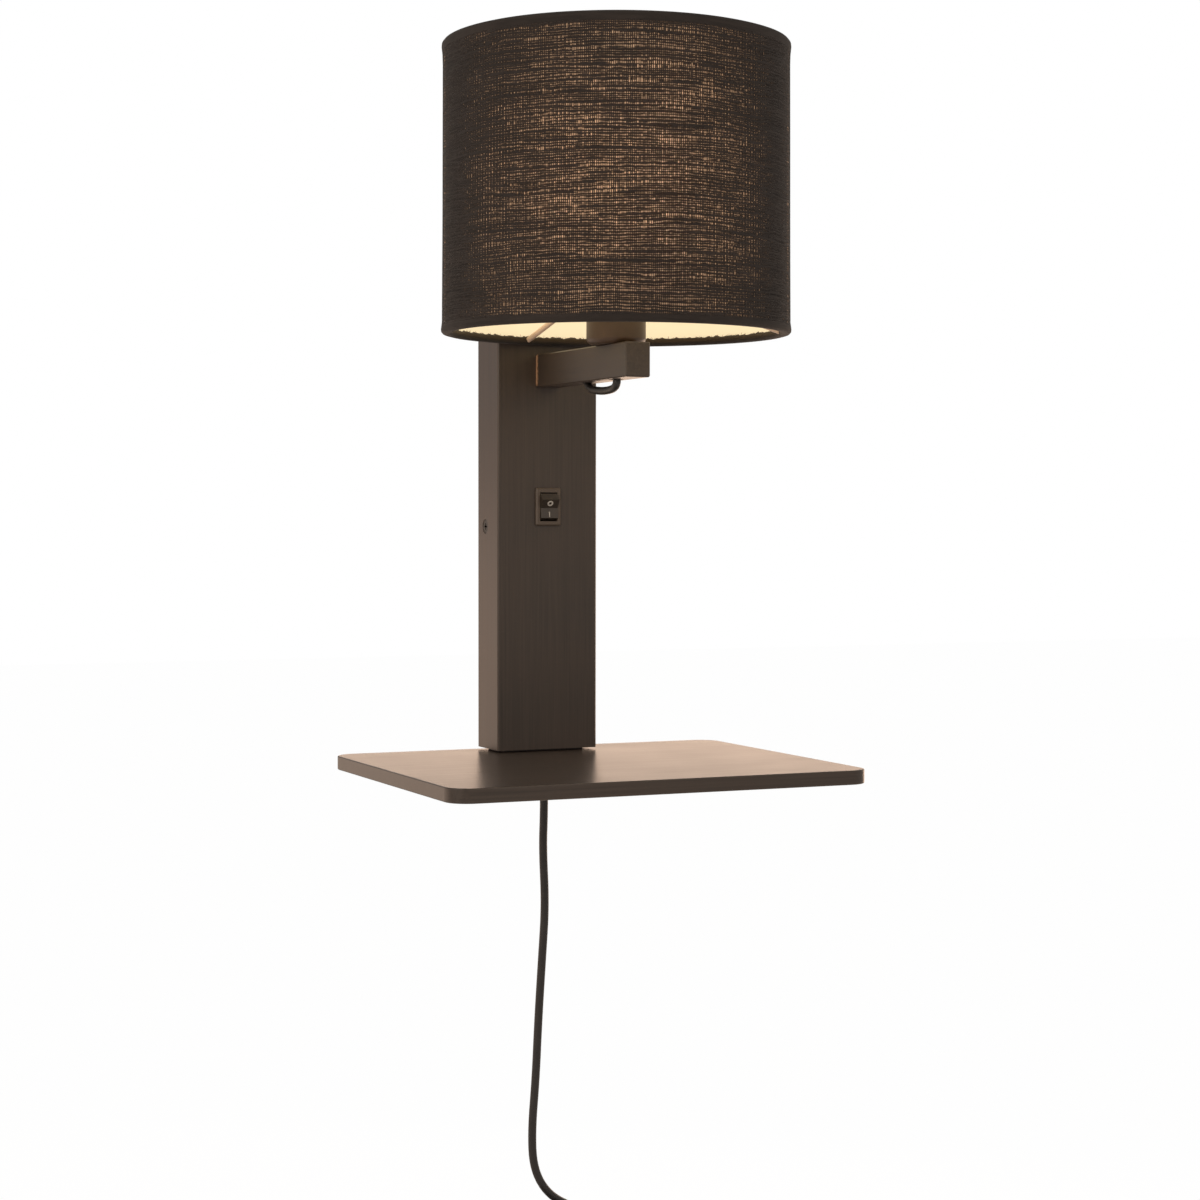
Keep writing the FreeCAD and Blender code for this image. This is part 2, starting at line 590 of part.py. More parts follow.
def make_bulb():
    at = ("0", "-lamp_reach", BULB_TIP)
    wide = "cap_diameter / 2"
    piece(turned([("0", "0"), ("2", "0"), ("4.4", "2.2"), ("4.4", "3"), ("0", "3")], *at),
          "bulb_contact")
    piece(turned([("4.5", "2.4"), (wide, "3.6"), (wide, "2.4 + cap_length"),
                  (wide + " - cap_wall", "2.4 + cap_length"), (wide + " - cap_wall", "4"),
                  ("4.5", "3")], *at), "bulb_cap")
    # The white housing between the cap and the globe widens to meet the globe's rim.
    rim = "(globe_diameter / 2 - 2.6)"
    low = "(2.4 + cap_length)"
    plug = wide + " - cap_wall - clearance / 2"
    rim_z = "(bulb_length - globe_diameter / 2 - globe_diameter * 0.23)"
    piece(turned([(plug + " - 1.2", low + " - 3"), (plug, low + " - 3"), (plug, low),
                  (wide + " + 1.4", low), (wide + " + 1.8", low + " + 7.5"), (rim, rim_z),
                  (rim + " - 1.3", rim_z), (wide + " + 0.6", low + " + 8.5"),
                  (plug + " - 1.2", low + " + 1")],
                 *at), "bulb_housing")
    # The board lies a little below the rim, in the housing's cone, clear of it all round.
    slope = "((%s - 1.3 - %s - 0.6) / (%s - %s - 8.5))" % (rim, wide, rim_z, low)
    board_r = "%s - 1.3 - board_sink * %s - board_room" % (rim, slope)
    piece(rod(board_r, "board_sink - 0.6", "0", "-lamp_reach",
              "%s + %s - board_sink" % (BULB_TIP, rim_z)), "led_board")
    globe = doc.addObject("Part::Sphere", "globe")
    bind(globe, "Radius", "globe_diameter / 2")
    place(globe, "0", "-lamp_reach", GLOBE_Z)
    hollow = doc.addObject("Part::Sphere", "hollow")
    bind(hollow, "Radius", "globe_diameter / 2 - glass_wall")
    place(hollow, "0", "-lamp_reach", GLOBE_Z)
    below = rod("globe_diameter", "globe_diameter", "0", "-lamp_reach",
                "%s - globe_diameter * 1.23 + 0.05" % GLOBE_Z)
    piece(cut(globe, hollow, below), "bulb_globe")


def fitter_arm(number):
    """One arm of the fitter, from the plate down to the lower ring."""
    reach = "(%s - fitter_plate / 2 + 1.5)" % RING_R
    start = "fitter_thick - fitter_wire / 2"
    drop = "(fitter_rise + %s - %s)" % (start, RING_RISE)
    arm = rod("fitter_wire / 2", "sqrt(%s ^ 2 + %s ^ 2)" % (reach, drop), "fitter_plate / 2 - 1.5",
              "0", start, Rotation(Vector(0, 1, 0), 90))
    bind(arm, "Placement.Rotation.Angle", "90 deg + atan(%s / %s)" % (drop, reach))
    holder = doc.addObject("Part::Compound", "turned_arm")
    holder.Links = [arm]
    holder.Placement = Placement(Vector(), Rotation(Z, size("fitter_turn") + 120 * number))
    return place(holder, "0", "-lamp_reach", SEAT, holder.Placement.Rotation)


def make_shade():
    centre = ("0", "-lamp_reach")
    plate = cut(rod("fitter_plate / 2", "fitter_thick", *centre, SEAT),
                rod("holder_thread / 2 + clearance", "3 * fitter_thick", *centre, SEAT + " - 1"))
    low_ring = ring(RING_R, "ring_wire / 2", *centre, "%s + %s" % (SHADE_LOW, RING_RISE))
    arms = [fitter_arm(number) for number in range(3)]
    # The arms are welded on the plate, so what would reach into its bore is cut away.
    bore = rod("holder_thread / 2 + clearance", "6 * fitter_thick", *centre, SEAT + " - 3")
    piece(cut(join(plate, low_ring, *arms), bore), "shade_fitter")
    piece(ring(RING_R, "ring_wire / 2", *centre, "%s + shade_height - %s" % (SHADE_LOW, RING_RISE)),
          "shade_top_ring")

    out = SHADE_R + " - fabric_thick - clearance"
    low, top = "fabric_thick + clearance", "shade_height - fabric_thick - clearance"
    piece(turned([(out + " - lining_thick", low), (out, low), (out, top),
                  (out + " - lining_thick", top)], *centre, SHADE_LOW), "shade_lining")

    hem, turn = SHADE_R + " - hem_depth", SHADE_R + " - hem_depth + fabric_thick"
    skin, tall = SHADE_R + " - fabric_thick", "shade_height"
    linen = turned([(SHADE_R, "0"), (SHADE_R, tall), (hem, tall), (hem, tall + " - hem_turn"),
                    (turn, tall + " - hem_turn"), (turn, tall + " - fabric_thick"),
                    (skin, tall + " - fabric_thick"), (skin, "fabric_thick"), (turn, "fabric_thick"),
                    (turn, "hem_turn"), (hem, "hem_turn"), (hem, "0")], *centre, SHADE_LOW)
    notches = []
    for number in range(3):
        notch = box(SHADE_R + " - hem_depth - 1", "-fitter_wire / 2 - 0.5", "fabric_thick",
                    "fabric_thick + 1 + clearance", "fitter_wire + 1", "hem_turn + fitter_wire")
        holder = doc.addObject("Part::Compound", "turned_notch")
        holder.Links = [notch]
        notches.append(place(holder, *centre, SHADE_LOW,
                             Rotation(Z, size("fitter_turn") + 120 * number)))
    piece(cut(linen, *notches), "shade_fabric")


def rocker_outline():
    """The rocker seen from the side, as (towards the wall, up) from its axis."""
    return [("-3.4", "0"), ("-5.2", "rocker_reach - 2.65"), ("-1.2", "rocker_reach - 0.1"),
            ("1.5", "rocker_reach - 0.2"), ("3.5", "rocker_reach - 3.3"),
            ("3.5", "3.3 - rocker_reach"), ("1.5", "0.2 - rocker_reach"),
            ("-1.2", "0.1 - rocker_reach"), ("-5.2", "2.65 - rocker_reach")]


def make_switch():
    at = ("0", PIVOT_Y, "switch_height")
    frame = padded("XZ_Plane", [("-bezel_width / 2", "switch_height - bezel_height / 2"),
                                ("bezel_width / 2", "switch_height - bezel_height / 2"),
                                ("bezel_width / 2", "switch_height + bezel_height / 2"),
                                ("-bezel_width / 2", "switch_height + bezel_height / 2")],
                   "bezel_thick", "column_depth")
    soften(frame, "Fillet", "1", lambda edge: runs_along(edge, Y))
    face = size("column_depth") + size("bezel_thick")
    soften(frame, "Chamfer", "0.7", lambda edge: lies_in(edge, -Y, face))
    body = box("-housing_width / 2", "-column_depth", "switch_height - housing_height / 2",
               "housing_width", "housing_depth", "housing_height")
    cavity = box("-rocker_width / 2 - rocker_play", "-column_depth - bezel_thick - 1",
                 "switch_height - rocker_reach - rocker_play", "rocker_width + 2 * rocker_play",
                 "bezel_thick + 1 + housing_depth - housing_floor", "2 * rocker_reach + 2 * rocker_play")
    pins = rod("rocker_pin / 2 + 0.05", "housing_width", "-housing_width / 2",
               PIVOT_Y, "switch_height", ALONG_X)
    slots = [box("-blade_width / 2 - 0.05", "-column_depth + housing_depth - housing_floor - 1",
                 "switch_height - blade_thick / 2 - 0.05 + " + lift, "blade_width + 0.1",
                 "housing_floor + 2", "blade_thick + 0.1") for lift in ("0", "blade_spacing")]
    piece(cut(join(frame, body), cavity, pins, *slots), "switch_housing")

    rocker = padded("YZ_Plane", rocker_outline(), "rocker_width", "-rocker_width / 2")
    axle = rod("rocker_pin / 2", "housing_width - 0.4", "0.2 - housing_width / 2", "0", "0", ALONG_X)
    lean = Rotation(X, size("rocker_tilt"))
    piece(place(join(rocker, axle), *at, lean), "switch_rocker")
    bind(subparts[-1], "Placement.Rotation.Angle", "rocker_tilt")

    plunger = turned([("0", "3.5"), ("plunger_diameter / 2", "3.5"),
                      ("plunger_diameter / 2", "plunger_reach - 0.4"),
                      ("plunger_diameter / 4", "plunger_reach"), ("0", "plunger_reach")])
    plunger.Placement = Placement(Vector(), TOWARDS_WALL)
    carried = doc.addObject("Part::Compound", "carried")
    carried.Links = [plunger]
    piece(place(carried, *at, lean), "switch_plunger")
    bind(carried, "Placement.Rotation.Angle", "rocker_tilt")

    strip = box("-seesaw_width / 2", "-seesaw_thick / 2", "-seesaw_reach", "seesaw_width",
                "seesaw_thick", "2 * seesaw_reach")
    bead = rod("seesaw_bead / 2", "seesaw_width", "-seesaw_width / 2", turn=ALONG_X)
    seesaw = join(strip, bead)
    piece(place(seesaw, "0", SEESAW_Y, "switch_height", Rotation(-X, size("seesaw_tilt"))),
          "switch_contact")
    bind(seesaw, "Placement.Rotation.Angle", "seesaw_tilt")

    rear = "(-column_depth + housing_depth + blade_length)"
    cradle = "(%s + seesaw_bead / 2 + clearance)" % SEESAW_Y
    middle = box("-blade_width / 2", cradle, "switch_height - blade_thick / 2",
                 "blade_width", "%s - %s" % (rear, cradle), "blade_thick")
    meet = "(%s + (blade_spacing + blade_thick / 2) * tan(seesaw_tilt)" \
        " + seesaw_thick / 2 / cos(seesaw_tilt) + clearance)" % SEESAW_Y
    upper = box("-blade_width / 2", meet, "switch_height + blade_spacing - blade_thick / 2",
                "blade_width", "%s - %s" % (rear, meet), "blade_thick")
    piece(group(middle, upper), "switch_terminals")


def make_terminal_block():
    body = box("-block_width / 2", COLUMN_BACK, "block_bottom", "block_width", "block_depth",
               "block_height")
    groove = box("-0.6", COLUMN_BACK + " + block_depth - 4", "block_bottom - 1", "1.2", "5",
                 "block_height + 2")
    holes = [rod("small_screw / 2 + clearance / 2", "block_depth + 2", "0", COLUMN_BACK + " - 1",
                 "block_bottom + block_height / 2", TOWARDS_WALL)]
    screws = []
    for side in ("-", ""):
        for lift in ("4", "block_height - 4"):
            at = ("%s pole_spacing / 2" % side, "block_bottom + " + lift)
            holes.append(rod("small_screw / 2 + clearance / 2", "6", at[0],
                             COLUMN_BACK + " + block_depth - 5", at[1], TOWARDS_WALL))
            screws.append(domed_screw("4", "small_screw", "small_head", "1", at[0],
                                      COLUMN_BACK + " + block_depth", at[1], TOWARDS_WALL))
    piece(cut(body, groove, *holes), "terminal_block")
    piece(group(*screws), "terminal_screws")
    piece(domed_screw("(block_depth + 1)", "small_screw", "2.3 * 2", "1.2", "0",
                      COLUMN_BACK + " + block_depth - 4 + 4", "block_bottom + block_height / 2",
                      TOWARDS_WALL), "block_screw")


def make_cord_clamp():
    body = box("cord_across - clamp_width / 2", COLUMN_BACK, CLAMP_Z, "clamp_width", "clamp_depth",
               "clamp_height")
    holes = [rod("cord_diameter / 2 + clearance / 2", "clamp_height + 2", "cord_across", "-cord_depth",
                 CLAMP_Z + " - 1")]
    screws = []
    for sign in ("-", "+"):
        x = "cord_across %s clamp_width / 3" % sign
        z = CLAMP_Z + " + clamp_height / 2"
        holes.append(rod("small_screw / 2 + clearance / 2", "clamp_depth + 2", x, COLUMN_BACK + " - 1", z,
                         TOWARDS_WALL))
        screws.append(domed_screw("(clamp_depth + 2.5)", "small_screw", "small_head", "1.5", x,
                                  COLUMN_BACK + " + clamp_depth", z, TOWARDS_WALL))
    piece(cut(body, *holes), "cord_clamp")
    piece(group(*screws), "clamp_screws")


def make_strain_relief():
    bore = "cord_diameter / 2 + clearance / 2"
    low = "-relief_flange_thick - relief_length"
    piece(turned([(bore, low), ("relief_slim / 2", low), ("relief_wide / 2", "-relief_flange_thick"),
                  ("relief_flange / 2", "-relief_flange_thick"), ("relief_flange / 2", "0"),
                  ("cord_hole / 2 - clearance", "0"), ("cord_hole / 2 - clearance", "shelf_thick - 1"),
                  (bore, "shelf_thick - 1")], "cord_across", "-cord_depth", SHELF_UNDER),
          "strain_relief")


def path_edges(points):
    """Straight runs joined by tangent arcs, each as large as its two runs allow. Gives the
    edges and the arcs' radii."""
    edges, radii = [], []
    here = points[0]
    for before, corner, after in zip(points, points[1:], points[2:]):
        into, out = corner - before, after - corner
        half = into.getAngle(out) / 2
        reach = 0.45 * min(into.Length, out.Length)
        radii.append(reach / math.tan(half))
        enter = corner - into.normalize() * reach
        leave = corner + out.normalize() * reach
        inward = (out - into).normalize()
        bulge = corner + inward * (radii[-1] / math.cos(half) - radii[-1])
        edges.append(Part.LineSegment(here, enter).toShape())
        edges.append(Part.Arc(enter, bulge, leave).toShape())
        here = leave
    edges.append(Part.LineSegment(here, points[-1]).toShape())
    return edges, radii


def tube(label, points, radius):
    """A round lead along a route of straight runs and arcs."""
    edges, radii = path_edges(points)
    length = sum(edge.Length for edge in edges)
    run = points[1] - points[0]
    section = Part.Wire([Part.Circle(points[0], run, radius).toShape()])
    shape = Part.Wire(edges).makePipeShell([section], True, False)
    feature = doc.addObject("Part::Feature", label)
    feature.Shape = shape
    ratio = shape.Volume / (math.pi * radius ** 2 * length)
    print("%s: length %.1f, volume over section times length %.4f, radii %s"
          % (label, length, ratio, " ".join("%.1f" % r for r in radii)))
    return piece(feature, label)


def make_inner_wiring():
    lamp, arm_z = -size("lamp_reach"), size("arm_top") - size("arm_height") / 2
    under = size("arm_top") - size("arm_height")
    riser = -size("riser_reach")
    block_top = size("block_bottom") + size("block_height")
    start = size("arm_top") + size("contact_height") - 1
    tube("lamp_lead", [
        Vector(0, lamp, start), Vector(0, lamp, under + 4), Vector(0, lamp - 1.8, under - 4.4),
        Vector(0, lamp + 17, under - 5.6), Vector(0, riser, under - 3), Vector(0, riser, arm_z),
        Vector(0, -13, arm_z), Vector(1, -14.5, (arm_z + block_top) / 2),
        Vector(1, -14.5, block_top)],
        size("lead_diameter") / 2)

    across, deep = size("cord_across"), -size("cord_depth")
    sheath_end = size("tail_rise") - size("shelf_drop")
    tail_low = -size("shelf_drop") - size("shelf_thick") - size("relief_flange_thick") \
        - size("relief_length")
    tail = rod("cord_diameter / 2", "%.4f" % (sheath_end - tail_low), "cord_across", "-cord_depth",
               "tail_rise - shelf_drop - %.4f" % (sheath_end - tail_low))
    bind(tail, "Height", "tail_rise + shelf_thick + relief_flange_thick + relief_length")
    bind(tail, "Placement.Base.z", SHELF_UNDER + " - relief_flange_thick - relief_length")
    piece(tail, "cord_tail")

    core = size("core_diameter") / 2
    blade = size("blade_width") / 2
    middle = size("switch_height")
    upper = middle + size("blade_spacing")
    rear = -size("column_depth") + size("housing_depth") + size("blade_length") / 2
    pole = size("pole_spacing") / 2
    low = size("block_bottom")
    tube("core_live", [
        Vector(across - 1.1, deep, sheath_end), Vector(across - 1.1, deep, sheath_end + 8),
        Vector(9, rear - 1, sheath_end + 34), Vector(10, rear, middle - 14), Vector(9, rear, middle),
        Vector(blade, rear, middle)], core)
    tube("core_neutral", [
        Vector(across + 1.1, deep, sheath_end), Vector(across + 1.1, deep, sheath_end + 7),
        Vector(14, -12, sheath_end + 32), Vector(15, -11, 6), Vector(9.5, -12, low - 12),
        Vector(pole, -14, low - 7), Vector(pole, -14, low)], core)
    tube("core_switched", [
        Vector(-blade, rear, upper), Vector(-8, rear, upper), Vector(-7, rear - 3.5, low - 10),
        Vector(-pole, -13, low - 5), Vector(-pole, -13, low)], core)


def make_mains_cord():
    """The free lead, its coil, the tie and the plug."""
    radius = size("cord_diameter") / 2
    tip = -size("shelf_drop") - size("shelf_thick") - size("relief_flange_thick") \
        - size("relief_length")
    across, deep = size("cord_across"), -size("cord_depth")
    # The route, chosen by hand: it hangs from the strain relief and bends into the coil.
    route = [Vector(across, deep, tip), Vector(across, deep, tip - 9), Vector(2, -17.9, -181),
             Vector(3.9, -17.3, -213), Vector(2, -17, -243), Vector(-0.3, -17.1, -277),
             Vector(-2, -17.4, -311), Vector(-4.7, -17.8, -340.5), Vector(-3.7, -18, -362.4),
             Vector(5.3, -18, -378), Vector(20.9, -18, -387)]
    tube("mains_cord", route, radius)
    middle, last = make_coil(route[-1], (route[-1] - route[-2]).normalize(), radius)
    make_tie(middle, route[-1].y, radius)
    make_plug(last)


def coil_point(turn, middle, front, first, turns, layers, radii, pitch):
    """A point of the coil after some turns: the radius swings in and out at a steady rate, and
    the turns climb a layer in the half turn where it reverses."""
    per_layer = turns / layers
    layer = min(int(turn / per_layer), layers - 1)
    share = (turn - layer * per_layer) / per_layer
    inward = share if layer % 2 == 0 else 1 - share
    radius = radii[0] + (radii[1] - radii[0]) * inward
    climbed = sum(min(max((turn - k * per_layer) / 0.5 + 0.5, 0), 1) for k in range(1, layers))
    angle = first - 2 * math.pi * turn
    return Vector(middle.x + radius * math.cos(angle), front - climbed * pitch,
                  middle.z + radius * math.sin(angle))


def biarc(start, leaving, end, arriving):
    """Two arcs that share a tangent, from one point and direction to the next."""
    chord = end - start
    both = leaving + arriving
    dot = chord.dot(both)
    spread = 2 * (1 - leaving.dot(arriving))
    reach = (-dot + math.sqrt(dot ** 2 + spread * chord.dot(chord))) / spread
    first_corner, second_corner = start + leaving * reach, end - arriving * reach
    meeting = (first_corner + second_corner) * 0.5
    edges = []
    for a, corner, b in ((start, first_corner, meeting), (meeting, second_corner, end)):
        half = (corner - a).getAngle(b - corner) / 2
        bend = reach / math.tan(half)
        inward = ((a + b) * 0.5 - corner).normalize()
        edges.append(Part.Arc(a, corner + inward * (bend / math.cos(half) - bend), b).toShape())
    return edges


def make_coil(start, direction, radius):
    """The put-away length: a coil in a plane along the wall. Gives the coil's middle and the
    end of its straight tail."""
    pitch = 2 * radius + size("coil_gap")
    layers = int(size("coil_layers"))
    lead_in = direction * 2 * radius
    first = math.atan2(direction.x, -direction.z)
    # Whole turns, and then on to where the lead points straight down.
    turns = size("coil_turns") + first / (2 * math.pi)
    swing = pitch * turns / layers / 2
    radii = (size("coil_middle") / 2 + swing, size("coil_middle") / 2 - swing)
    touch = start + lead_in
    middle = touch - Vector(math.cos(first), 0, math.sin(first)) * radii[0]

    def point(turn):
        return coil_point(turn, middle, start.y, first, turns, layers, radii, pitch)

    def heading(turn):
        near, far = max(turn - 1e-4, 0), min(turn + 1e-4, turns)
        return (point(far) - point(near)).normalize()

    quarters = round(turns * 4)
    steps = [turns * i / quarters for i in range(quarters + 1)]
    headings = [direction] + [heading(step) for step in steps[1:-1]] + [Vector(0, 0, -1)]
    edges = [Part.LineSegment(start, point(0)).toShape()]
    for i in range(quarters):
        edges += biarc(point(steps[i]), headings[i], point(steps[i + 1]), headings[i + 1])
    end = point(turns) + Vector(0, 0, -size("coil_tail"))
    edges.append(Part.LineSegment(point(turns), end).toShape())
    wire = Part.Wire(edges)
    section = Part.Wire([Part.Circle(start, direction, radius).toShape()])
    feature = doc.addObject("Part::Feature", "cord_coil")
    feature.Shape = wire.makePipeShell([section], True, False)
    piece(feature, "cord_coil")

    length = wire.Length
    print("cord_coil: length %.1f, %.3f turns, volume over section times length %.4f"
          % (length, turns, feature.Shape.Volume / (math.pi * radius ** 2 * length)))
    samples = [sample for edge in edges for sample in edge.discretize(7)[:-1]]
    lengths = [0]
    for a, b in zip(samples, samples[1:]):
        lengths.append(lengths[-1] + (b - a).Length)
    least = min((samples[i] - samples[j]).Length for i in range(len(samples))
                for j in range(i + 1, len(samples)) if lengths[j] - lengths[i] > 12 * radius)
    print("cord_coil: least gap to itself %.2f" % (least - 2 * radius))
    return middle, end


def make_tie(middle, front, radius):
    """A tie round all the turns of the coil."""
    pitch = 2 * radius + size("coil_gap")
    layers = int(size("coil_layers"))
    turns = size("coil_turns") + 1 / 6
    room = 0.3
    radial = pitch * turns / layers + 2 * radius + 2 * room
    deep = pitch * (layers - 1) + 2 * radius + 2 * room
    wide, thick = size("tie_width"), size("tie_thick")
    outer = Part.makeBox(radial + 2 * thick, deep + 2 * thick, wide,
                         Vector(-radial / 2 - thick, -deep / 2 - thick, -wide / 2))
    outer = outer.makeFillet(thick, [edge for edge in outer.Edges if runs_along(edge, Z)])
    inner = Part.makeBox(radial, deep, 2 * wide, Vector(-radial / 2, -deep / 2, -wide))
    feature = doc.addObject("Part::Feature", "cord_tie")
    feature.Shape = outer.cut(inner)
    angle = size("tie_turn")
    outward = Vector(math.cos(math.radians(angle)), 0, math.sin(math.radians(angle)))
    centre = Vector(middle.x, front - (layers - 1) * pitch / 2, middle.z) \
        + outward * (size("coil_middle") / 2)
    feature.Placement = Placement(centre, Rotation(Y, -angle))
    piece(feature, "cord_tie")


def make_plug(end):
    """The boot, the body and the two pins, hanging from the coil's tail."""
    x, y, z = "%.6f" % end.x, "%.6f" % end.y, "%.6f" % end.z
    boot = taper("cord_diameter / 2 + 0.6", "cord_diameter / 2 + 2", "boot_length", x, y, z,
                 UPSIDE_DOWN)
    top = "-boot_length"
    body = padded("XZ_Plane", [
        ("-plug_neck / 2", top), ("-plug_width / 2", top + " - plug_length + plug_shoulder"),
        ("-plug_width / 2", top + " - plug_length"), ("plug_width / 2", top + " - plug_length"),
        ("plug_width / 2", top + " - plug_length + plug_shoulder"), ("plug_neck / 2", top)],
        "plug_thick", "-plug_thick / 2")
    soften(body, "Fillet", "plug_thick * 0.33", lambda edge: not runs_along(edge, Y)
           and abs(abs(edge.CenterOfMass.y) - size("plug_thick") / 2) < 1e-4
           and abs(edge.CenterOfMass.x) > 1)
    place(body, x, y, z)
    piece(join(boot, body), "plug_body")
    pins = []
    for sign in ("-", "+"):
        at = ("%s %s pin_spacing / 2" % (x, sign), y)
        low = "%s - boot_length - plug_length - pin_length" % z
        pins.append(join(rod("pin_diameter / 2", "pin_length - 1", *at, low + " + 1"),
                         taper("pin_diameter / 4", "pin_diameter / 2", "1", *at, low)))
    piece(group(*pins), "plug_pins")


def check_and_write():
    """Stop on any failed object or bad shape, then write one file for each sub-part."""
    doc.recompute()
    failed = [item.Label for item in doc.Objects if "Invalid" in item.State or "Error" in item.State]
    shapeless = [item.Label for item in subparts if item.Shape.isNull() or not item.Shape.isValid()
                 or not item.Shape.Solids]
    if failed or shapeless:
        sys.exit("failed objects: %s; bad shapes: %s" % (failed, shapeless))
    os.makedirs("parts", exist_ok=True)
    for item in subparts:
        item.Shape.exportStep("parts/%s.step" % item.Label)
    print("%d sub-parts, %d solids" % (len(subparts), sum(len(item.Shape.Solids) for item in subparts)))


fill_sheet()
make_wall_plate()
make_side_screws()
make_column_front()
make_column_side("column_left", "-", ALONG_MINUS_X)
make_column_side("column_right", "", ALONG_X)
make_column_blocks()
make_shelf()
make_arm()
make_lamp_holder()
make_bulb()
make_shade()
make_switch()
make_terminal_block()
make_cord_clamp()
make_strain_relief()
make_inner_wiring()
make_mains_cord()
check_and_write()
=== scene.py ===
"""A wall lamp with a shelf: a dark wooden column and arm, a linen shade and its mains lead."""

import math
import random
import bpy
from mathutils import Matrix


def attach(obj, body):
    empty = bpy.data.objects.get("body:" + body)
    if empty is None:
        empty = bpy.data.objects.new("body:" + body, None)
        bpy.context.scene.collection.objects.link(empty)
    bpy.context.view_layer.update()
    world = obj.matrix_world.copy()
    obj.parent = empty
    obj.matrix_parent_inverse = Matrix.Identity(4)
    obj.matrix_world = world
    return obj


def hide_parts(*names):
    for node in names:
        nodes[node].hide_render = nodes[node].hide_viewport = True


bl_info = {
    "name": "Wall Lamp with Shelf",
    "version": (1, 0, 0),
    "blender": (4, 5, 0),
    "location": "View3D > Sidebar > Wall Lamp",
    "description": "Builds and finishes a wall lamp with a shelf, a linen shade and a mains lead",
    "category": "Object",
}

import bmesh
import bpy
from mathutils import Matrix, Vector, noise

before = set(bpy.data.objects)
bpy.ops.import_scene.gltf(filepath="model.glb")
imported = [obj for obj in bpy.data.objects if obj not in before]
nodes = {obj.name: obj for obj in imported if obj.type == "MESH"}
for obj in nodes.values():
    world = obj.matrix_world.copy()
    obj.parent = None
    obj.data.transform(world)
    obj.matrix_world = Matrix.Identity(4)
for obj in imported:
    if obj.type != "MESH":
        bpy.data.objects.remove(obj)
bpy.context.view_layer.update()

# Places and sizes, in metres.
AXIS = Vector((0, -0.121, 0))
BULB_HEIGHT = 0.1672
SHADE_LOW, SHADE_TOP = 0.1, 0.25
SHADE_HEIGHT = SHADE_TOP - SHADE_LOW
LINING_RADIUS = 0.089
LINING_SKIN = (0.08892, 0.08902)
HEM_DEPTH = 0.0051
HEM_HEIGHT = 0.006
# The lower hem's outer face, from its turned-in edge on: how far it stands out from the drum's
# radius, and its height.
HEM = ((-0.0023, 0.0044), (-0.0037, 0.004), (-0.0047, 0.0032), (-HEM_DEPTH, 0.0021),
       (-0.0048, 0.001), (-0.0036, 0.0002), (-0.0019, 0.0), (-0.0005, 0.0004), (0.0002, 0.0013),
       (0.0003, 0.0026), (0.0001, 0.0042), (-0.0001, HEM_HEIGHT))
# Where the orange-brown strip is painted on the arm: its reach from the wall, and the heights it
# starts at.
STRIP_REACH = -0.0318
STRIP_HEIGHTS = (0.0775, 0.0795)
FLOOR_LEVEL, FLOOR_HALF = -0.56, 8
# The body that the lamp itself is, which most pieces ride on.
LAMP = "lamp"

CAMERA_PLACE = (-0.530296, -1.286489, 0.006712)
CAMERA_LENS = 73.63
# Turn, rise and roll, in degrees.
CAMERA_ANGLES = (-24.098, 1.992, 0.07)

WARM, AMBER = (1.0, 0.84, 0.71), (1.0, 0.68, 0.48)
# Each light's name, place, aim, width, height, power and colour. The panels stand low behind the
# lamp: the shelf reflects the right one, and the column's side the left one.
LIGHTS = (
    ("key_light", (-1.5, -0.75, 0.45), (0, -0.05, 0.0), 1.1, 1.1, 6, WARM),
    ("front_light", (0.35, -2.1, 0.8), (0, -0.05, 0.0), 1.3, 1.3, 4, WARM),
    ("right_panel", (0.62, 0.62, -0.15), (0.1, -0.1, -0.15), 1.25, 0.42, 4.0, AMBER),
    ("left_panel", (-0.62, 0.62, -0.2), (0, -0.1, -0.2), 1.15, 0.42, 1.1, AMBER),
)


# --- Shader maths ---------------------------------------------------------------------------

class Wire:
    """An output socket of a node that can be used in Python expressions."""

    def __init__(self, graph, socket):
        self.graph = graph
        self.socket = socket

    def maths(self, operation, *values, clamp=False):
        return self.graph.add("ShaderNodeMath", {"operation": operation, "use_clamp": clamp},
                              dict(enumerate(values)))

    def __add__(self, other):
        return self.maths("ADD", self, other)

    def __sub__(self, other):
        return self.maths("SUBTRACT", self, other)

    def __rsub__(self, other):
        return self.maths("SUBTRACT", other, self)

    def __mul__(self, other):
        return self.maths("MULTIPLY", self, other)

    def __truediv__(self, other):
        return self.maths("DIVIDE", self, other)

    def __pow__(self, other):
        return self.maths("POWER", self, other)

    def __rpow__(self, other):
        return self.maths("POWER", other, self)

    def floor(self):
        return self.maths("FLOOR", self)

    def fraction(self):
        return self.maths("FRACT", self)

    def absolute(self):
        return self.maths("ABSOLUTE", self)

    def larger(self, other):
        return self.maths("MAXIMUM", self, other)

    def back_and_forth(self, reach):
        return self.maths("PINGPONG", self, reach)

    def limited(self):
        return self.maths("ADD", self, 0.0, clamp=True)

    def remap(self, low, high, to_low=0.0, to_high=1.0, smooth=False):
        """The value carried from one range to another and held there."""
        kind = "SMOOTHSTEP" if smooth else "LINEAR"
        return self.graph.add("ShaderNodeMapRange", {"interpolation_type": kind, "clamp": True},
                              {"Value": self, "From Min": low, "From Max": high,
                               "To Min": to_low, "To Max": to_high})


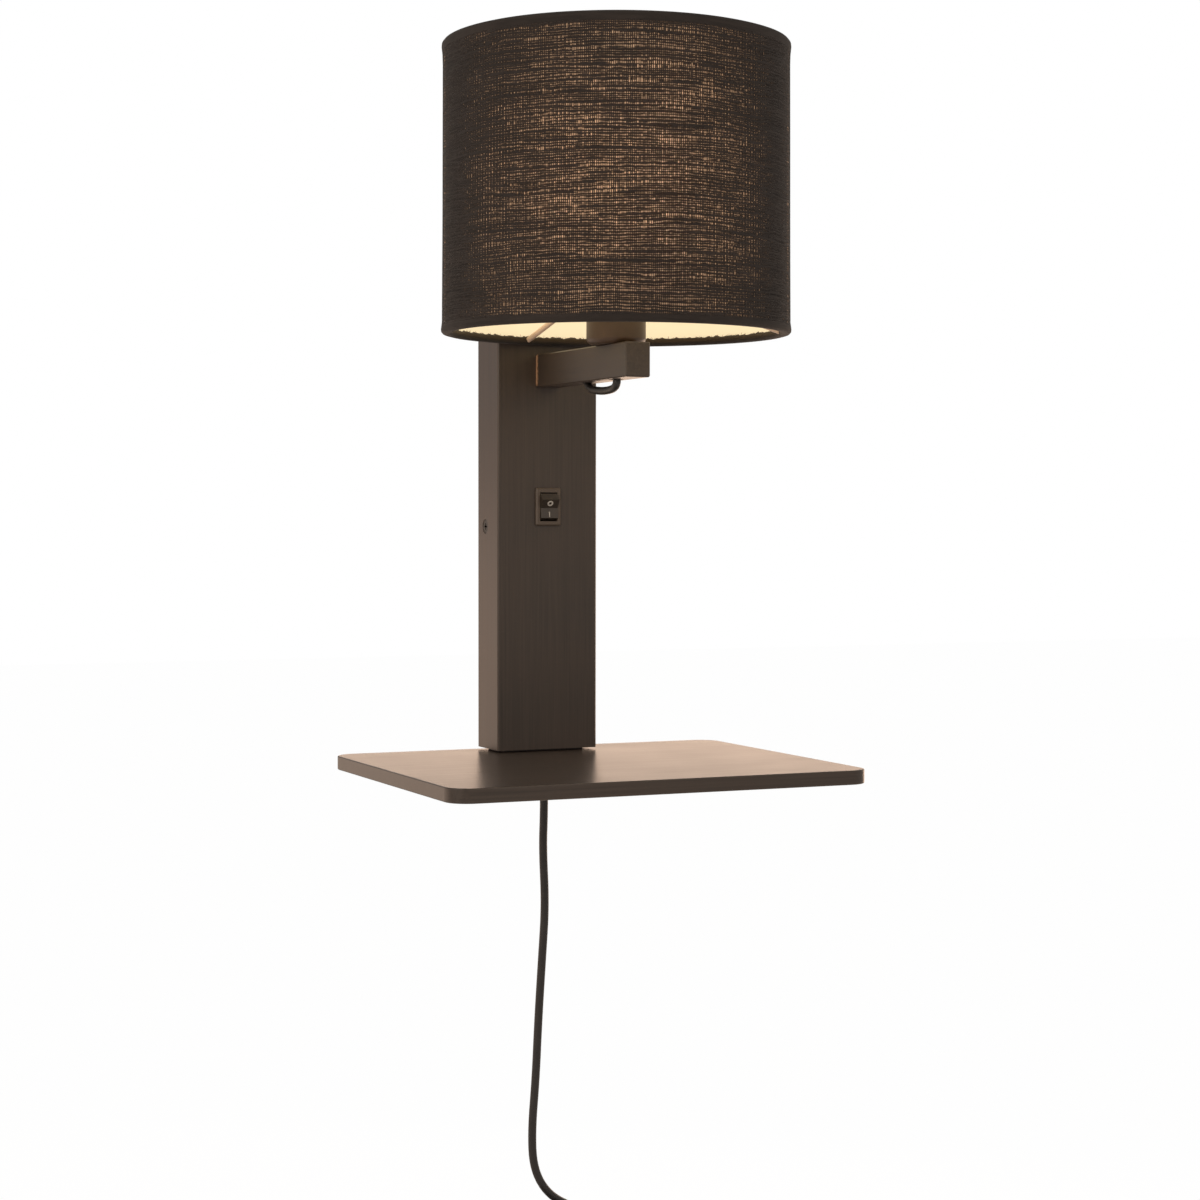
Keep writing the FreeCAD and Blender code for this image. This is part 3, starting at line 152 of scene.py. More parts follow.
class Graph:
    """A node tree whose nodes are added one by one."""

    def __init__(self, tree):
        self.tree = tree
        tree.nodes.clear()

    def add(self, kind, settings=None, sockets=None, output=0):
        """Add a node of a kind: first its settings, then the values or links of its sockets."""
        node = self.tree.nodes.new(kind)
        for key, value in (settings or {}).items():
            setattr(node, key, value)
        for key, value in (sockets or {}).items():
            self.feed(node.inputs[key], value)
        return Wire(self, node.outputs[output]) if node.outputs else None

    def feed(self, socket, value):
        """Link a wire to a socket, or give the socket a value."""
        if isinstance(value, Wire):
            self.tree.links.new(value.socket, socket)
        else:
            socket.default_value = value

    def place(self, scale=(1, 1, 1), shift=(0, 0, 0)):
        """Object coordinates, stretched and shifted."""
        where = self.add("ShaderNodeTexCoord", output="Object")
        return self.add("ShaderNodeMapping", None,
                        {"Vector": where, "Location": shift, "Scale": scale})

    def parts(self, vector):
        split = self.add("ShaderNodeSeparateXYZ", None, {"Vector": vector})
        return [Wire(self, output) for output in split.socket.node.outputs]

    def vector(self, x=0.0, y=0.0, z=0.0):
        return self.add("ShaderNodeCombineXYZ", None, {"X": x, "Y": y, "Z": z})

    def noise(self, vector, scale, detail=2.0, roughness=0.5, dimensions="3D"):
        return self.add("ShaderNodeTexNoise", {"noise_dimensions": dimensions},
                        {"Vector": vector, "Scale": scale, "Detail": detail,
                         "Roughness": roughness}, output="Fac")

    def mix(self, share, first, second):
        """Two colours mixed by a share from 0 to 1, through a Mix node's colour sockets."""
        return self.add("ShaderNodeMix", {"data_type": "RGBA"}, {0: share, 6: first, 7: second},
                        output=2)

    def bump(self, height, strength, distance):
        return self.add("ShaderNodeBump", None,
                        {"Height": height, "Strength": strength, "Distance": distance})

    def seen_directly(self):
        """1 for rays from the camera and through glass, and 0 for the others."""
        camera = self.add("ShaderNodeLightPath", output="Is Camera Ray")
        return camera.larger(self.add("ShaderNodeLightPath", output="Is Transmission Ray"))


class Finish(Graph):
    """A material whose nodes are added one by one."""

    def __init__(self, name):
        self.material = bpy.data.materials.new(name)
        self.material.use_nodes = True
        super().__init__(self.material.node_tree)

    def surface(self, **sockets):
        """The material with a Principled shader."""
        named = {key.replace("_", " "): value for key, value in sockets.items()}
        return self.done(self.add("ShaderNodeBsdfPrincipled", None, named))

    def done(self, shader):
        self.add("ShaderNodeOutputMaterial", None, {"Surface": shader})
        return self.material


def rgb(red, green, blue):
    return (red, green, blue, 1.0)


def toned(colour, share):
    """A colour made darker by a share below 1, or lighter by one above."""
    return (*(channel * share for channel in colour[:3]), 1.0)


def tinted(colour, red, green, blue):
    return (colour[0] * red, colour[1] * green, colour[2] * blue, 1.0)


# --- Finishes --------------------------------------------------------------------------------

def stained_wood(name, colour, along, gloss, seed, pale_strip=False):
    """Dark stained wood with fine brushed grain along one axis, under a satin lacquer. On the arm,
    a ragged orange-brown strip is painted on its sides beside the column."""
    f = Finish(name)
    fine, coarse = [900] * 3, [170] * 3
    axis = "XYZ".index(along)
    fine[axis], coarse[axis] = 14, 5
    shift = (seed, seed * 1.7, seed * 0.6)
    streaks = f.noise(f.place(fine, shift), 1, 3, 0.6)
    bands = f.noise(f.place(coarse, shift), 1, 2, 0.5)
    clouds = f.noise(f.place(shift=shift), 22, 2, 0.5)
    shade = (streaks * 0.55 + bands * 0.25 + clouds * 0.2).remap(0.34, 0.66, smooth=True)
    body = f.mix(shade, toned(colour, 0.8), toned(colour, 1.2))
    body = f.mix(clouds.remap(0.35, 0.65) * 0.35, body, tinted(colour, 1.06, 0.97, 0.92))
    pores = streaks.remap(0.3, 0.36, 1, 0)
    body = f.mix(pores * 0.4, body, toned(colour, 0.55))
    if pale_strip:
        # A ragged orange-brown strip, painted on the arm's sides beside the column.
        _, depth, height = f.parts(f.place())
        ragged = (f.noise(f.place(shift=shift), 520, 2, 0.7) - 0.5) * 0.005
        behind = (depth + ragged).remap(STRIP_REACH - 0.0012, STRIP_REACH + 0.001)
        body = f.mix(behind * height.remap(*STRIP_HEIGHTS) * 0.9, body, rgb(0.58, 0.33, 0.19))
    rough = (streaks * 0.75 + clouds * 0.25).remap(0.3, 0.7, gloss - 0.03, gloss + 0.05)
    bump = f.bump(streaks * 0.6 + bands * 0.4, 0.12, 0.0004)
    return f.surface(Base_Color=body, Roughness=rough, Normal=bump)


def lacquered_metal(name, colour, gloss, metallic=0.0):
    """A lacquer with a faint orange-peel and a little dust."""
    f = Finish(name)
    peel = f.noise(f.place(), 1400, 2)
    cloud = f.noise(f.place(), 60, 3)
    body = f.mix(cloud.remap(0.3, 0.7), toned(colour, 0.85), toned(colour, 1.15))
    rough = cloud.remap(0.3, 0.7, gloss - 0.04, gloss + 0.05)
    return f.surface(Base_Color=body, Roughness=rough, Metallic=metallic,
                     Normal=f.bump(peel, 0.08, 0.0002))


def bare_metal(name, colour, gloss):
    """Plated or bare metal with turned or drawn marks and slight tarnish."""
    f = Finish(name)
    marks = f.noise(f.place((300, 300, 2500)), 1, 3, 0.6)
    tarnish = f.noise(f.place(), 180, 3, 0.6)
    body = f.mix(tarnish.remap(0.4, 0.75), colour, toned(colour, 0.7))
    rough = (marks * 0.5 + tarnish * 0.5).remap(0.3, 0.7, gloss - 0.06, gloss + 0.12)
    return f.surface(Base_Color=body, Roughness=rough, Metallic=1.0,
                     Normal=f.bump(marks, 0.1, 0.0002))


def moulded_plastic(name, colour, gloss):
    """Moulded plastic with a fine even grain."""
    f = Finish(name)
    grain = f.noise(f.place(), 2600, 2)
    cloud = f.noise(f.place(), 90, 2)
    body = f.mix(cloud.remap(0.3, 0.7), toned(colour, 0.9), toned(colour, 1.1))
    rough = (grain * 0.4 + cloud * 0.6).remap(0.3, 0.7, gloss - 0.04, gloss + 0.05)
    return f.surface(Base_Color=body, Roughness=rough, Normal=f.bump(grain, 0.1, 0.0001))


def cable_sheath(name, colour, gloss=0.42):
    """A round cable's smooth sheath, slightly dulled in places."""
    f = Finish(name)
    scuffs = f.noise(f.place((1, 1, 0.25)), 260, 3, 0.6)
    wave = f.noise(f.place(), 900, 2)
    body = f.mix(scuffs.remap(0.35, 0.75), colour, toned(colour, 1.7))
    rough = scuffs.remap(0.3, 0.7, gloss - 0.06, gloss + 0.12)
    return f.surface(Base_Color=body, Roughness=rough, Normal=f.bump(wave, 0.06, 0.0002))


def opal_glow(name, colour, strength):
    """The lit diffuser of the bulb."""
    f = Finish(name)
    cloud = f.noise(f.place(), 40, 2).remap(0.3, 0.7)
    glow = f.mix(cloud, colour, toned(colour, 0.93))
    return f.surface(Base_Color=rgb(0.9, 0.88, 0.82), Roughness=0.5, Emission_Color=glow,
                     Emission_Strength=strength)


def lit_lining(name, settings):
    """The lining film: it glows inside, and more weakly outside, strongest beside the bulb."""
    f = Finish(name)
    x, y, z = f.parts(f.add("ShaderNodeTexCoord", output="Object"))
    rise = (z - BULB_HEIGHT) / LINING_RADIUS
    falloff = (rise * rise + 1.0) ** -1.2
    wrinkle = f.noise(f.vector(x, y, z * 0.6), 55, 3, 0.5).remap(0.25, 0.75, 0.9, 1.06)
    forward = y - AXIS.y
    outside = ((x * x + forward * forward) ** 0.5).remap(*LINING_SKIN)
    inner = f.mix(falloff, settings.lining_dim, settings.lining_lit)
    outer = f.mix((falloff * wrinkle).limited(), rgb(0.0, 0.0, 0.0), settings.leak)
    glow = f.mix(outside, inner, outer)
    speck = f.noise(f.place(), 420, 2).remap(0.24, 0.2)
    body = f.mix(speck * 0.4, rgb(0.5, 0.44, 0.34), rgb(0.3, 0.24, 0.17))
    return f.surface(Base_Color=body, Roughness=0.55, Emission_Color=glow,
                     Emission_Strength=settings.lining_strength)


def linen_weave(name, settings):
    """Black slubby linen. The light comes through the gaps between its yarns, which are open
    through all its layers, so they close up where the cloth is seen at a slant."""
    f = Finish(name)
    u, v, _ = f.parts(f.add("ShaderNodeUVMap", {"uv_map": "cloth"}))
    # The yarns wander a little, as a hand-made cloth's do: by a length, and by shares of a row.
    wander, crowding, fraying = 0.005, 2.2, 0.6
    drift = f.noise(f.vector(u * 12.0, v * 16.0), 1, 2, 0.5, "2D")
    crowd = f.noise(f.vector(u * 9.0, v * 330.0), 1, 2, 0.6, "2D")
    fray = f.noise(f.vector(u * 230.0, v * 520.0), 1, 1, 0.5, "2D")
    rows = ((v + (drift - 0.5) * wander) / settings.weft_pitch + (crowd - 0.5) * crowding
            + (fray - 0.5) * fraying)
    columns = u / settings.warp_pitch
    row, column = rows.floor(), columns.floor()
    # How tall each gap is: along each level yarn in long runs and short slubs, in wide patches,
    # a little along each upright yarn, and from one gap to the next.
    run = f.noise(f.vector(u * 26.0, row * 7.31), 1, 3, 0.6, "2D")
    slub = f.noise(f.vector(u * 75.0, row * 3.77 + 40.0), 1, 1, 0.5, "2D")
    patch = f.noise(f.vector(u * 20.0, v * 95.0), 1, 2, 0.55, "2D")
    upright = f.noise(f.vector(column * 5.17, v * 12.0), 1, 1, 0.5, "2D")
    single = f.add("ShaderNodeTexWhiteNoise", {"noise_dimensions": "2D"},
                   {"Vector": f.vector(column, row)}, output="Value")
    weft = run * 0.44 + slub * 0.2 + patch * 0.36 - 0.5
    level = weft * settings.unevenness + (upright - 0.5) * 0.5 + (single - 0.5) * 1.7
    lowest = 0.12
    tall = 2.0 ** level * settings.openness + lowest
    # The upright yarns lie in pairs, so every second gap is broader.
    pair = column.back_and_forth(1.0)
    broad = pair * 0.18 + single * 0.18 + 0.26
    # Across and along run from 0 on a gap's middle to 1 on a yarn's.
    across = (rows.fraction() - 0.5).absolute() * 2.0
    along = (columns.fraction() - 0.5).absolute() * 2.0
    gap = (tall - across).remap(-0.45, 0.3) * (broad - along).remap(-0.12, 0.08)
    cover = 1.0 - gap
    # Both hems are glued double, so no light comes through them.
    fade = 0.0012
    low = v.remap(settings.hem_low, settings.hem_low + fade, 1, 0)
    top = v.remap(settings.hem_top - fade, settings.hem_top)
    cover = cover.larger(low.larger(top))
    tone = (weft + 0.5).remap(0.42, 0.58)
    yarn = f.mix(tone, toned(settings.linen, 0.85), toned(settings.linen, 1.3))
    # The turned-in edges, which lie inside, are the dark linen warmed to brown: the bulb's light
    # on them, painted into their colour.
    near, far = 0.0035, 0.0055
    inside = v.remap(near, far, 1, 0).larger(
        v.remap(settings.cloth_length - far, settings.cloth_length - near))
    yarn = f.mix(inside * 0.85, yarn, settings.hem_colour_and_glow)
    height = across * 0.4 + along * 0.2
    bump = f.bump(height + slub * 0.5, 0.5, 0.0003)
    return f.surface(Base_Color=yarn, Roughness=0.92, Alpha=cover, Normal=bump,
                     Sheen_Weight=0.03, Sheen_Roughness=0.5)


def pale_ground(name, colour):
    """Nearly white for the camera, with a trace of the object's shadow, and pale elsewhere."""
    f = Finish(name)
    diffuse = f.add("ShaderNodeBsdfDiffuse", None, {"Color": colour})
    white = f.add("ShaderNodeEmission", None, {"Color": rgb(1, 1, 1), "Strength": 1.0})
    both = f.add("ShaderNodeMixShader", None,
                 {0: f.seen_directly() * 0.985, 1: diffuse, 2: white})
    return f.done(both)


# --- Meshes ----------------------------------------------------------------------------------

def new_piece(name, mesh, material, body=LAMP, smooth=True):
    """Link a mesh as a piece that rides on a body."""
    piece = bpy.data.objects.new(name, mesh)
    bpy.context.scene.collection.objects.link(piece)
    mesh.materials.append(material)
    if smooth:
        mesh.polygons.foreach_set("use_smooth", [True] * len(mesh.polygons))
    if body:
        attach(piece, body)
    return piece


def dress(material, *names):
    """Give parts of the CAD model their finish."""
    for name in names:
        mesh = nodes[name].data
        mesh.materials.clear()
        mesh.materials.append(material)
        mesh.polygons.foreach_set("material_index", [0] * len(mesh.polygons))


def as_mesh(name, shape):
    """Turn a bmesh into a mesh."""
    mesh = bpy.data.meshes.new(name)
    shape.to_mesh(mesh)
    shape.free()
    return mesh


def cable(name, points, diameter, sheath, roundness, steps):
    """A round lead on the lamp's body, along a line of points."""
    curve = bpy.data.curves.new(name, "CURVE")
    curve.dimensions = "3D"
    curve.bevel_depth, curve.bevel_resolution = diameter / 2, roundness
    curve.resolution_u = steps
    spline = curve.splines.new("NURBS")
    spline.points.add(len(points) - 1)
    for target, point in zip(spline.points, points):
        target.co = (*point, 1)
    spline.order_u = 3
    spline.use_endpoint_u = True
    curve.materials.append(sheath)
    lead = bpy.data.objects.new(name, curve)
    bpy.context.scene.collection.objects.link(lead)
    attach(lead, LAMP)
    return lead


def flatten(piece):
    """Turn an object with modifiers into a plain mesh."""
    evaluated = piece.evaluated_get(bpy.context.evaluated_depsgraph_get())
    mesh = bpy.data.meshes.new_from_object(evaluated)
    piece.modifiers.clear()
    old = piece.data
    piece.data = mesh
    bpy.data.meshes.remove(old)
    return piece


# --- Settings --------------------------------------------------------------------------------

class ShadeSettings(bpy.types.PropertyGroup):
    """The shade's sizes and colours."""
    radius: bpy.props.FloatProperty(
        name="Radius", description="Outer radius of the linen", default=0.09,
        unit="LENGTH")
    cloth: bpy.props.FloatProperty(
        name="Cloth thickness", description="Thickness of the linen", default=0.00028,
        unit="LENGTH")
    weft_pitch: bpy.props.FloatProperty(
        name="Weft pitch", description="Distance between the level yarns", default=0.00139,
        unit="LENGTH")
    warp_pitch: bpy.props.FloatProperty(
        name="Warp pitch", description="Distance between the upright yarns", default=0.00102073,
        unit="LENGTH")
    hem_low: bpy.props.FloatProperty(
        name="Lower hem", description="Height of the lower hem's upper edge on the cloth",
        default=0.0132, unit="LENGTH")
    hem_top: bpy.props.FloatProperty(
        name="Upper hem", description="Height of the upper hem's lower edge on the cloth",
        default=0.1548, unit="LENGTH")
    cloth_length: bpy.props.FloatProperty(
        name="Cloth length",
        description="Length of the cloth from one turned-in edge to the other",
        default=0.167, unit="LENGTH")
    openness: bpy.props.FloatProperty(
        name="Openness", description="Height of an even gap as a share of the weft pitch",
        default=0.225, subtype="FACTOR")
    unevenness: bpy.props.FloatProperty(
        name="Unevenness", description="How much the level yarns differ in thickness", default=6.6)
    linen: bpy.props.FloatVectorProperty(
        name="Linen", description="Colour of the yarns", default=(0.025, 0.0192, 0.0162, 1.0),
        size=4, subtype="COLOR")
    # The turned-in hem's colour: its dark linen, with the bulb's light on it painted in as brown.
    hem_colour_and_glow: bpy.props.FloatVectorProperty(
        name="Turned-in hem", description="Colour of the hem's turned-in edge",
        default=(0.032, 0.018, 0.0075, 1.0), size=4, subtype="COLOR")
    threads: bpy.props.IntProperty(
        name="Loose threads", description="Number of loose threads on each hem", default=420)
    lining_lit: bpy.props.FloatVectorProperty(
        name="Lining beside the bulb", description="Glow inside, beside the bulb",
        default=(1.0, 0.85, 0.55, 1.0), size=4, subtype="COLOR")
    lining_dim: bpy.props.FloatVectorProperty(
        name="Lining at the rims", description="Glow inside, near the rims",
        default=(0.95, 0.8, 0.52, 1.0), size=4, subtype="COLOR")
    leak: bpy.props.FloatVectorProperty(
        name="Light in the weave", description="Glow that shows between the yarns",
        default=(1.0, 0.56, 0.3, 1.0), size=4, subtype="COLOR")
    lining_strength: bpy.props.FloatProperty(
        name="Lining strength", description="Strength of the lining's glow", default=0.68)


class BodySettings(bpy.types.PropertyGroup):
    """Colours of the column, the shelf, the arm and the switch."""
    wood: bpy.props.FloatVectorProperty(
        name="Stained wood", description="Colour of the column and the arm",
        default=(0.052, 0.0385, 0.03, 1.0), size=4, subtype="COLOR")
    cup: bpy.props.FloatVectorProperty(
        name="Cup", description="Colour of the cup under the bulb",
        default=(0.06, 0.034, 0.019, 1.0), size=4, subtype="COLOR")
    switch: bpy.props.FloatVectorProperty(
        name="Switch", description="Colour of the switch", default=(0.04, 0.031, 0.024, 1.0),
        size=4, subtype="COLOR")
    marking: bpy.props.FloatVectorProperty(
        name="Switch marks", description="Colour of the switch's two marks",
        default=(0.5, 0.47, 0.43, 1.0), size=4, subtype="COLOR")
    bulb_strength: bpy.props.FloatProperty(
        name="Bulb strength", description="Strength of the bulb's glow", default=4.0)


class LeadSettings(bpy.types.PropertyGroup):
    """Sizes and colour of the mains lead."""
    diameter: bpy.props.FloatProperty(
        name="Diameter", description="Diameter of the lead", default=0.0046, unit="LENGTH")
    gap: bpy.props.FloatProperty(
        name="Room between turns", description="Room between two turns of the coil",
        default=0.00055, unit="LENGTH")
    coil_middle: bpy.props.FloatProperty(
        name="Coil", description="Diameter of the coil at the middle of its turns",
        default=0.0506, unit="LENGTH")
    sheath: bpy.props.FloatVectorProperty(
        name="Sheath", description="Colour of the lead", default=(0.017, 0.015, 0.014, 1.0),
        size=4, subtype="COLOR")


# --- The stage -------------------------------------------------------------------------------

class LAMP_OT_stage(bpy.types.Operator):
    """Make the camera, the pale floor and the studio light"""
    bl_idname = "wall_lamp.stage"
    bl_label = "Stage"

    def execute(self, context):
        scene = context.scene
        scene.view_settings.view_transform = "Standard"
        self.camera(scene)
        self.floor()
        self.world(scene)
        for light in LIGHTS:
            self.softbox(*light)
        return {"FINISHED"}

    @staticmethod
    def camera(scene):
        data = bpy.data.cameras.new("camera")
        data.sensor_fit, data.sensor_width, data.lens = "HORIZONTAL", 36.0, CAMERA_LENS
        data.clip_start, data.clip_end = 0.05, 50
        camera = bpy.data.objects.new("camera", data)
        scene.collection.objects.link(camera)
        turn, rise, roll = (math.radians(a) for a in CAMERA_ANGLES)
        back = Vector((math.sin(turn) * math.cos(rise), -math.cos(turn) * math.cos(rise),
                       math.sin(rise)))
        right = Vector((math.cos(turn), math.sin(turn), 0))
        up = back.cross(right)
        level = right * math.cos(roll) + up * math.sin(roll)
        axes = Matrix((level, back.cross(level), back)).transposed().to_4x4()
        camera.matrix_world = Matrix.Translation(CAMERA_PLACE) @ axes
        scene.camera = camera

    @staticmethod
    def floor():
        mesh = bpy.data.meshes.new("floor")
        corners = [(x * FLOOR_HALF, y * FLOOR_HALF, FLOOR_LEVEL)
                   for x, y in ((-1, -1), (1, -1), (1, 1), (-1, 1))]
        mesh.from_pydata(corners, [], [(0, 1, 2, 3)])
        floor = new_piece("floor", mesh, pale_ground("pale_floor", rgb(0.86, 0.85, 0.84)),
                          body=None, smooth=False)

    @staticmethod
    def world(scene):
        world = bpy.data.worlds.new("studio")
        scene.world = world
        world.use_nodes = True
        sky = Graph(world.node_tree)
        room = sky.add("ShaderNodeBackground", None,
                       {"Color": rgb(1.0, 0.91, 0.83), "Strength": 0.52})
        white = sky.add("ShaderNodeBackground", None, {"Color": rgb(1, 1, 1), "Strength": 1.0})
        both = sky.add("ShaderNodeMixShader", None, {0: sky.seen_directly(), 1: room, 2: white})
        sky.add("ShaderNodeOutputWorld", None, {"Surface": both})

    @staticmethod
    def softbox(name, place, aim, width, height, power, colour):
        data = bpy.data.lights.new(name, "AREA")
        data.shape, data.size, data.size_y = "RECTANGLE", width, height
        data.energy, data.color = power, colour
        light = bpy.data.objects.new(name, data)
        light.visible_camera = False
        bpy.context.scene.collection.objects.link(light)
        light.location = place
        direction = Vector(aim) - Vector(place)
        light.rotation_euler = direction.to_track_quat("-Z", "Y").to_euler()


# --- The mains lead --------------------------------------------------------------------------

class LAMP_OT_lead(bpy.types.Operator):
    """Make the mains lead with its coil, tie and plug"""
    bl_idname = "wall_lamp.lead"
    bl_label = "Mains lead"

    def execute(self, context):
        settings = context.scene.wall_lamp_lead
        sheath = cable_sheath("cable_sheath", settings.sheath)
        # The route as listed: it hangs and bends into the coil.
        route = [Vector(p) for p in (
            (0.0027, -0.018, -0.153), (0.0027, -0.018, -0.162), (0.002, -0.0179, -0.181),
            (0.0039, -0.0173, -0.213), (0.002, -0.017, -0.243), (-0.0003, -0.0171, -0.277),
            (-0.002, -0.0174, -0.311), (-0.0047, -0.0178, -0.3405), (-0.0037, -0.018, -0.3624),
            (0.0053, -0.018, -0.378), (0.0209, -0.018, -0.387))]
        points = route + self.coil(settings, route)
        lead = cable("mains_lead", points, settings.diameter, sheath, roundness=5, steps=6)
        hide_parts("mains_cord", "cord_coil")
        dress(moulded_plastic("plug_plastic", rgb(0.02, 0.019, 0.018), 0.4), "plug_body")
        dress(moulded_plastic("tie_plastic", rgb(0.03, 0.03, 0.03), 0.35), "cord_tie")
        dress(bare_metal("plug_nickel", rgb(0.7, 0.68, 0.64), 0.25), "plug_pins")
        dress(moulded_plastic("relief_rubber", settings.sheath, 0.5), "strain_relief")
        dress(sheath, "cord_tail")
        return {"FINISHED"}

    @staticmethod
    def coil(settings, route):
        """The put-away length: four layers that wind in and out again."""
        pitch = settings.diameter + settings.gap
        direction = (route[-1] - route[-2]).normalized()
        first = math.atan2(direction.x, -direction.z)
        whole_turns, layers, per_turn = 9, 4, 16
        turns = whole_turns + first / (2 * math.pi)
        swing = pitch * turns / layers / 2
        radii = (settings.coil_middle / 2 + swing, settings.coil_middle / 2 - swing)
        touch = route[-1] + direction * settings.diameter
        middle = touch - Vector((math.cos(first), 0, math.sin(first))) * radii[0]
        per_layer = turns / layers
        # The curve runs inside its points, so they stand a little further out.
        wider = 1 / math.cos(math.pi / per_turn)
        count = round(turns * per_turn)
        points = []
        for i in range(count + 1):
            turn = turns * i / count
            layer = min(int(turn / per_layer), layers - 1)
            share = (turn - layer * per_layer) / per_layer
            inward = share if layer % 2 == 0 else 1 - share
            radius = radii[0] + (radii[1] - radii[0]) * inward
            if 0 < i < count:
                radius *= wider
            # Each layer is reached over half a turn.
            climbed = sum(min(max((turn - k * per_layer) / 0.5 + 0.5, 0), 1)
                          for k in range(1, layers))
            angle = first - 2 * math.pi * turn
            points.append(Vector((middle.x + radius * math.cos(angle),
                                  touch.y - climbed * pitch,
                                  middle.z + radius * math.sin(angle))))
        return points + [points[-1] + Vector((0, 0, drop)) for drop in (-0.007, -0.0135, -0.02)]


class LAMP_OT_lamp_wire(bpy.types.Operator):
    """Make the short lead that loops under the arm"""
    bl_idname = "wall_lamp.lamp_wire"
    bl_label = "Lead under the arm"

    def execute(self, context):
        settings = context.scene.wall_lamp_lead
        # From the cup in a loop under the arm, through the arm and down the column.
        points = ((0, -0.121, 0.1085), (0, -0.121, 0.081), (0, -0.1228, 0.0726),
                  (0, -0.104, 0.0714), (0, -0.0835, 0.074), (0, -0.0835, 0.086),
                  (0, -0.013, 0.086), (0.001, -0.0145, 0.069), (0.001, -0.0145, 0.052))
        sheath = cable_sheath("lamp_wire_sheath", settings.sheath, 0.36)
        wire = cable("lamp_wire", points, 0.0042, sheath, roundness=6, steps=16)
        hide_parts("lamp_lead")
        return {"FINISHED"}


# --- The shade -------------------------------------------------------------------------------

class LAMP_OT_linen(bpy.types.Operator):
    """Make the linen drum with its turned-in hems"""
    bl_idname = "wall_lamp.linen"
    bl_label = "Linen shade"

    segments = 540
    wall_steps = 24
    # Rings at each end of the cloth that its middle layer leaves out.
    hem_rings = 9

    def execute(self, context):
        settings = context.scene.wall_lamp_shade
        weave = linen_weave("black_linen", settings)
        linen = new_piece("shade_linen", self.drum(settings), weave)
        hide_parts("shade_fabric")
        core = new_piece("shade_yarn_core", self.core(settings), weave)
        threads = flatten(self.loose_threads(settings))
        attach(threads, LAMP)
        return {"FINISHED"}

    @staticmethod
    def loose_threads(settings):
        """Short loose threads that stand up from both turned-in edges."""
        graph = Graph(bpy.data.node_groups.new("loose_threads", "GeometryNodeTree"))
        whole, length = "NodeSocketInt", "NodeSocketFloat"
        inputs = []
        for label, kind, value in (("Threads", whole, settings.threads),
                                   ("Radius", length, settings.radius - 0.0021),
                                   ("Lower edge", length, SHADE_LOW + 0.0041),
                                   ("Upper edge", length, SHADE_TOP - 0.0041),
                                   ("Length", length, 0.0017),
                                   ("Thickness", length, 0.00013),
                                   ("Seed", whole, 7)):
            socket = graph.tree.interface.new_socket(label, in_out="INPUT", socket_type=kind)
            inputs.append((socket, value))
        graph.tree.interface.new_socket("Geometry", in_out="OUTPUT",
                                        socket_type="NodeSocketGeometry")

        def given(label):
            return graph.add("NodeGroupInput", output=label)

        def spread(low, high, salt):
            """A random vector for each thread."""
            return graph.add("FunctionNodeRandomValue", {"data_type": "FLOAT_VECTOR"},
                             {"Min": low, "Max": high, "Seed": given("Seed") + salt})

        thread = graph.add("GeometryNodeMeshCone", {"fill_type": "NGON"},
                           {"Vertices": 5, "Side Segments": 2, "Radius Top": 0.4,
                            "Radius Bottom": 1.0, "Depth": 1.0})
        size = graph.vector(given("Thickness"), given("Thickness"), given("Length"))
        rings = []
        for salt, (edge, turn) in enumerate((("Lower edge", 0.0), ("Upper edge", math.pi))):
            circle = graph.add("GeometryNodeMeshCircle", None,
                               {"Vertices": given("Threads"), "Radius": given("Radius")})
            offset = spread((-0.0006, -0.0006, -0.0004), (0.0006, 0.0006, 0.0002), salt)
            jitter = graph.add("GeometryNodeSetPosition", None,
                               {"Geometry": circle, "Offset": offset})
            lean = spread((-0.9, -0.9, 0.0), (0.9, 0.9, 6.28), 10 + salt)
            scale = graph.add("ShaderNodeVectorMath", {"operation": "MULTIPLY"},
                              {0: size, 1: spread((0.6, 0.6, 0.1), (1.3, 1.3, 1.0), 20 + salt)})
            stand = graph.add("GeometryNodeInstanceOnPoints", None,
                              {"Points": jitter, "Instance": thread, "Rotation": lean,
                               "Scale": scale})
            rings.append(graph.add("GeometryNodeTransform", None,
                                   {"Geometry": stand, "Rotation": (turn, 0.0, 0.0),
                                    "Translation": graph.vector(0.0, AXIS.y, given(edge))}))
        both = graph.add("GeometryNodeJoinGeometry")
        for ring in rings:
            graph.feed(both.socket.node.inputs[0], ring)
        real = graph.add("GeometryNodeRealizeInstances", None, {"Geometry": both})
        # The threads take the hem's dark linen colour, with the bulb's light painted in as brown.
        thread_colour_and_glow = moulded_plastic("loose_thread", settings.hem_colour_and_glow, 0.8)
        dressed = graph.add("GeometryNodeSetMaterial", None, {"Geometry": real, "Material": thread_colour_and_glow})
        graph.add("NodeGroupOutput", None, {0: dressed})
        threads = new_piece("hem_threads", bpy.data.meshes.new("hem_threads"), thread_colour_and_glow, body=None,
                            smooth=False)
        modifier = threads.modifiers.new("loose_threads", "NODES")
        modifier.node_group = graph.tree
        for socket, value in inputs:
            modifier[socket.identifier] = value
        return threads

    def profile(self, settings):
        """The cloth's outer face as (radius, height), from hem to hem."""
        out, steps = settings.radius, self.wall_steps
        inset, taper = 0.0001, 0.0002
        low = [(out + depth, height) for depth, height in HEM]
        top = [(r, SHADE_HEIGHT - z) for r, z in reversed(low)]
        walls = [(out - inset - taper * (i / steps),
                  HEM_HEIGHT + (SHADE_HEIGHT - 2 * HEM_HEIGHT) * i / steps)
                 for i in range(1, steps)]
        return low + walls + top

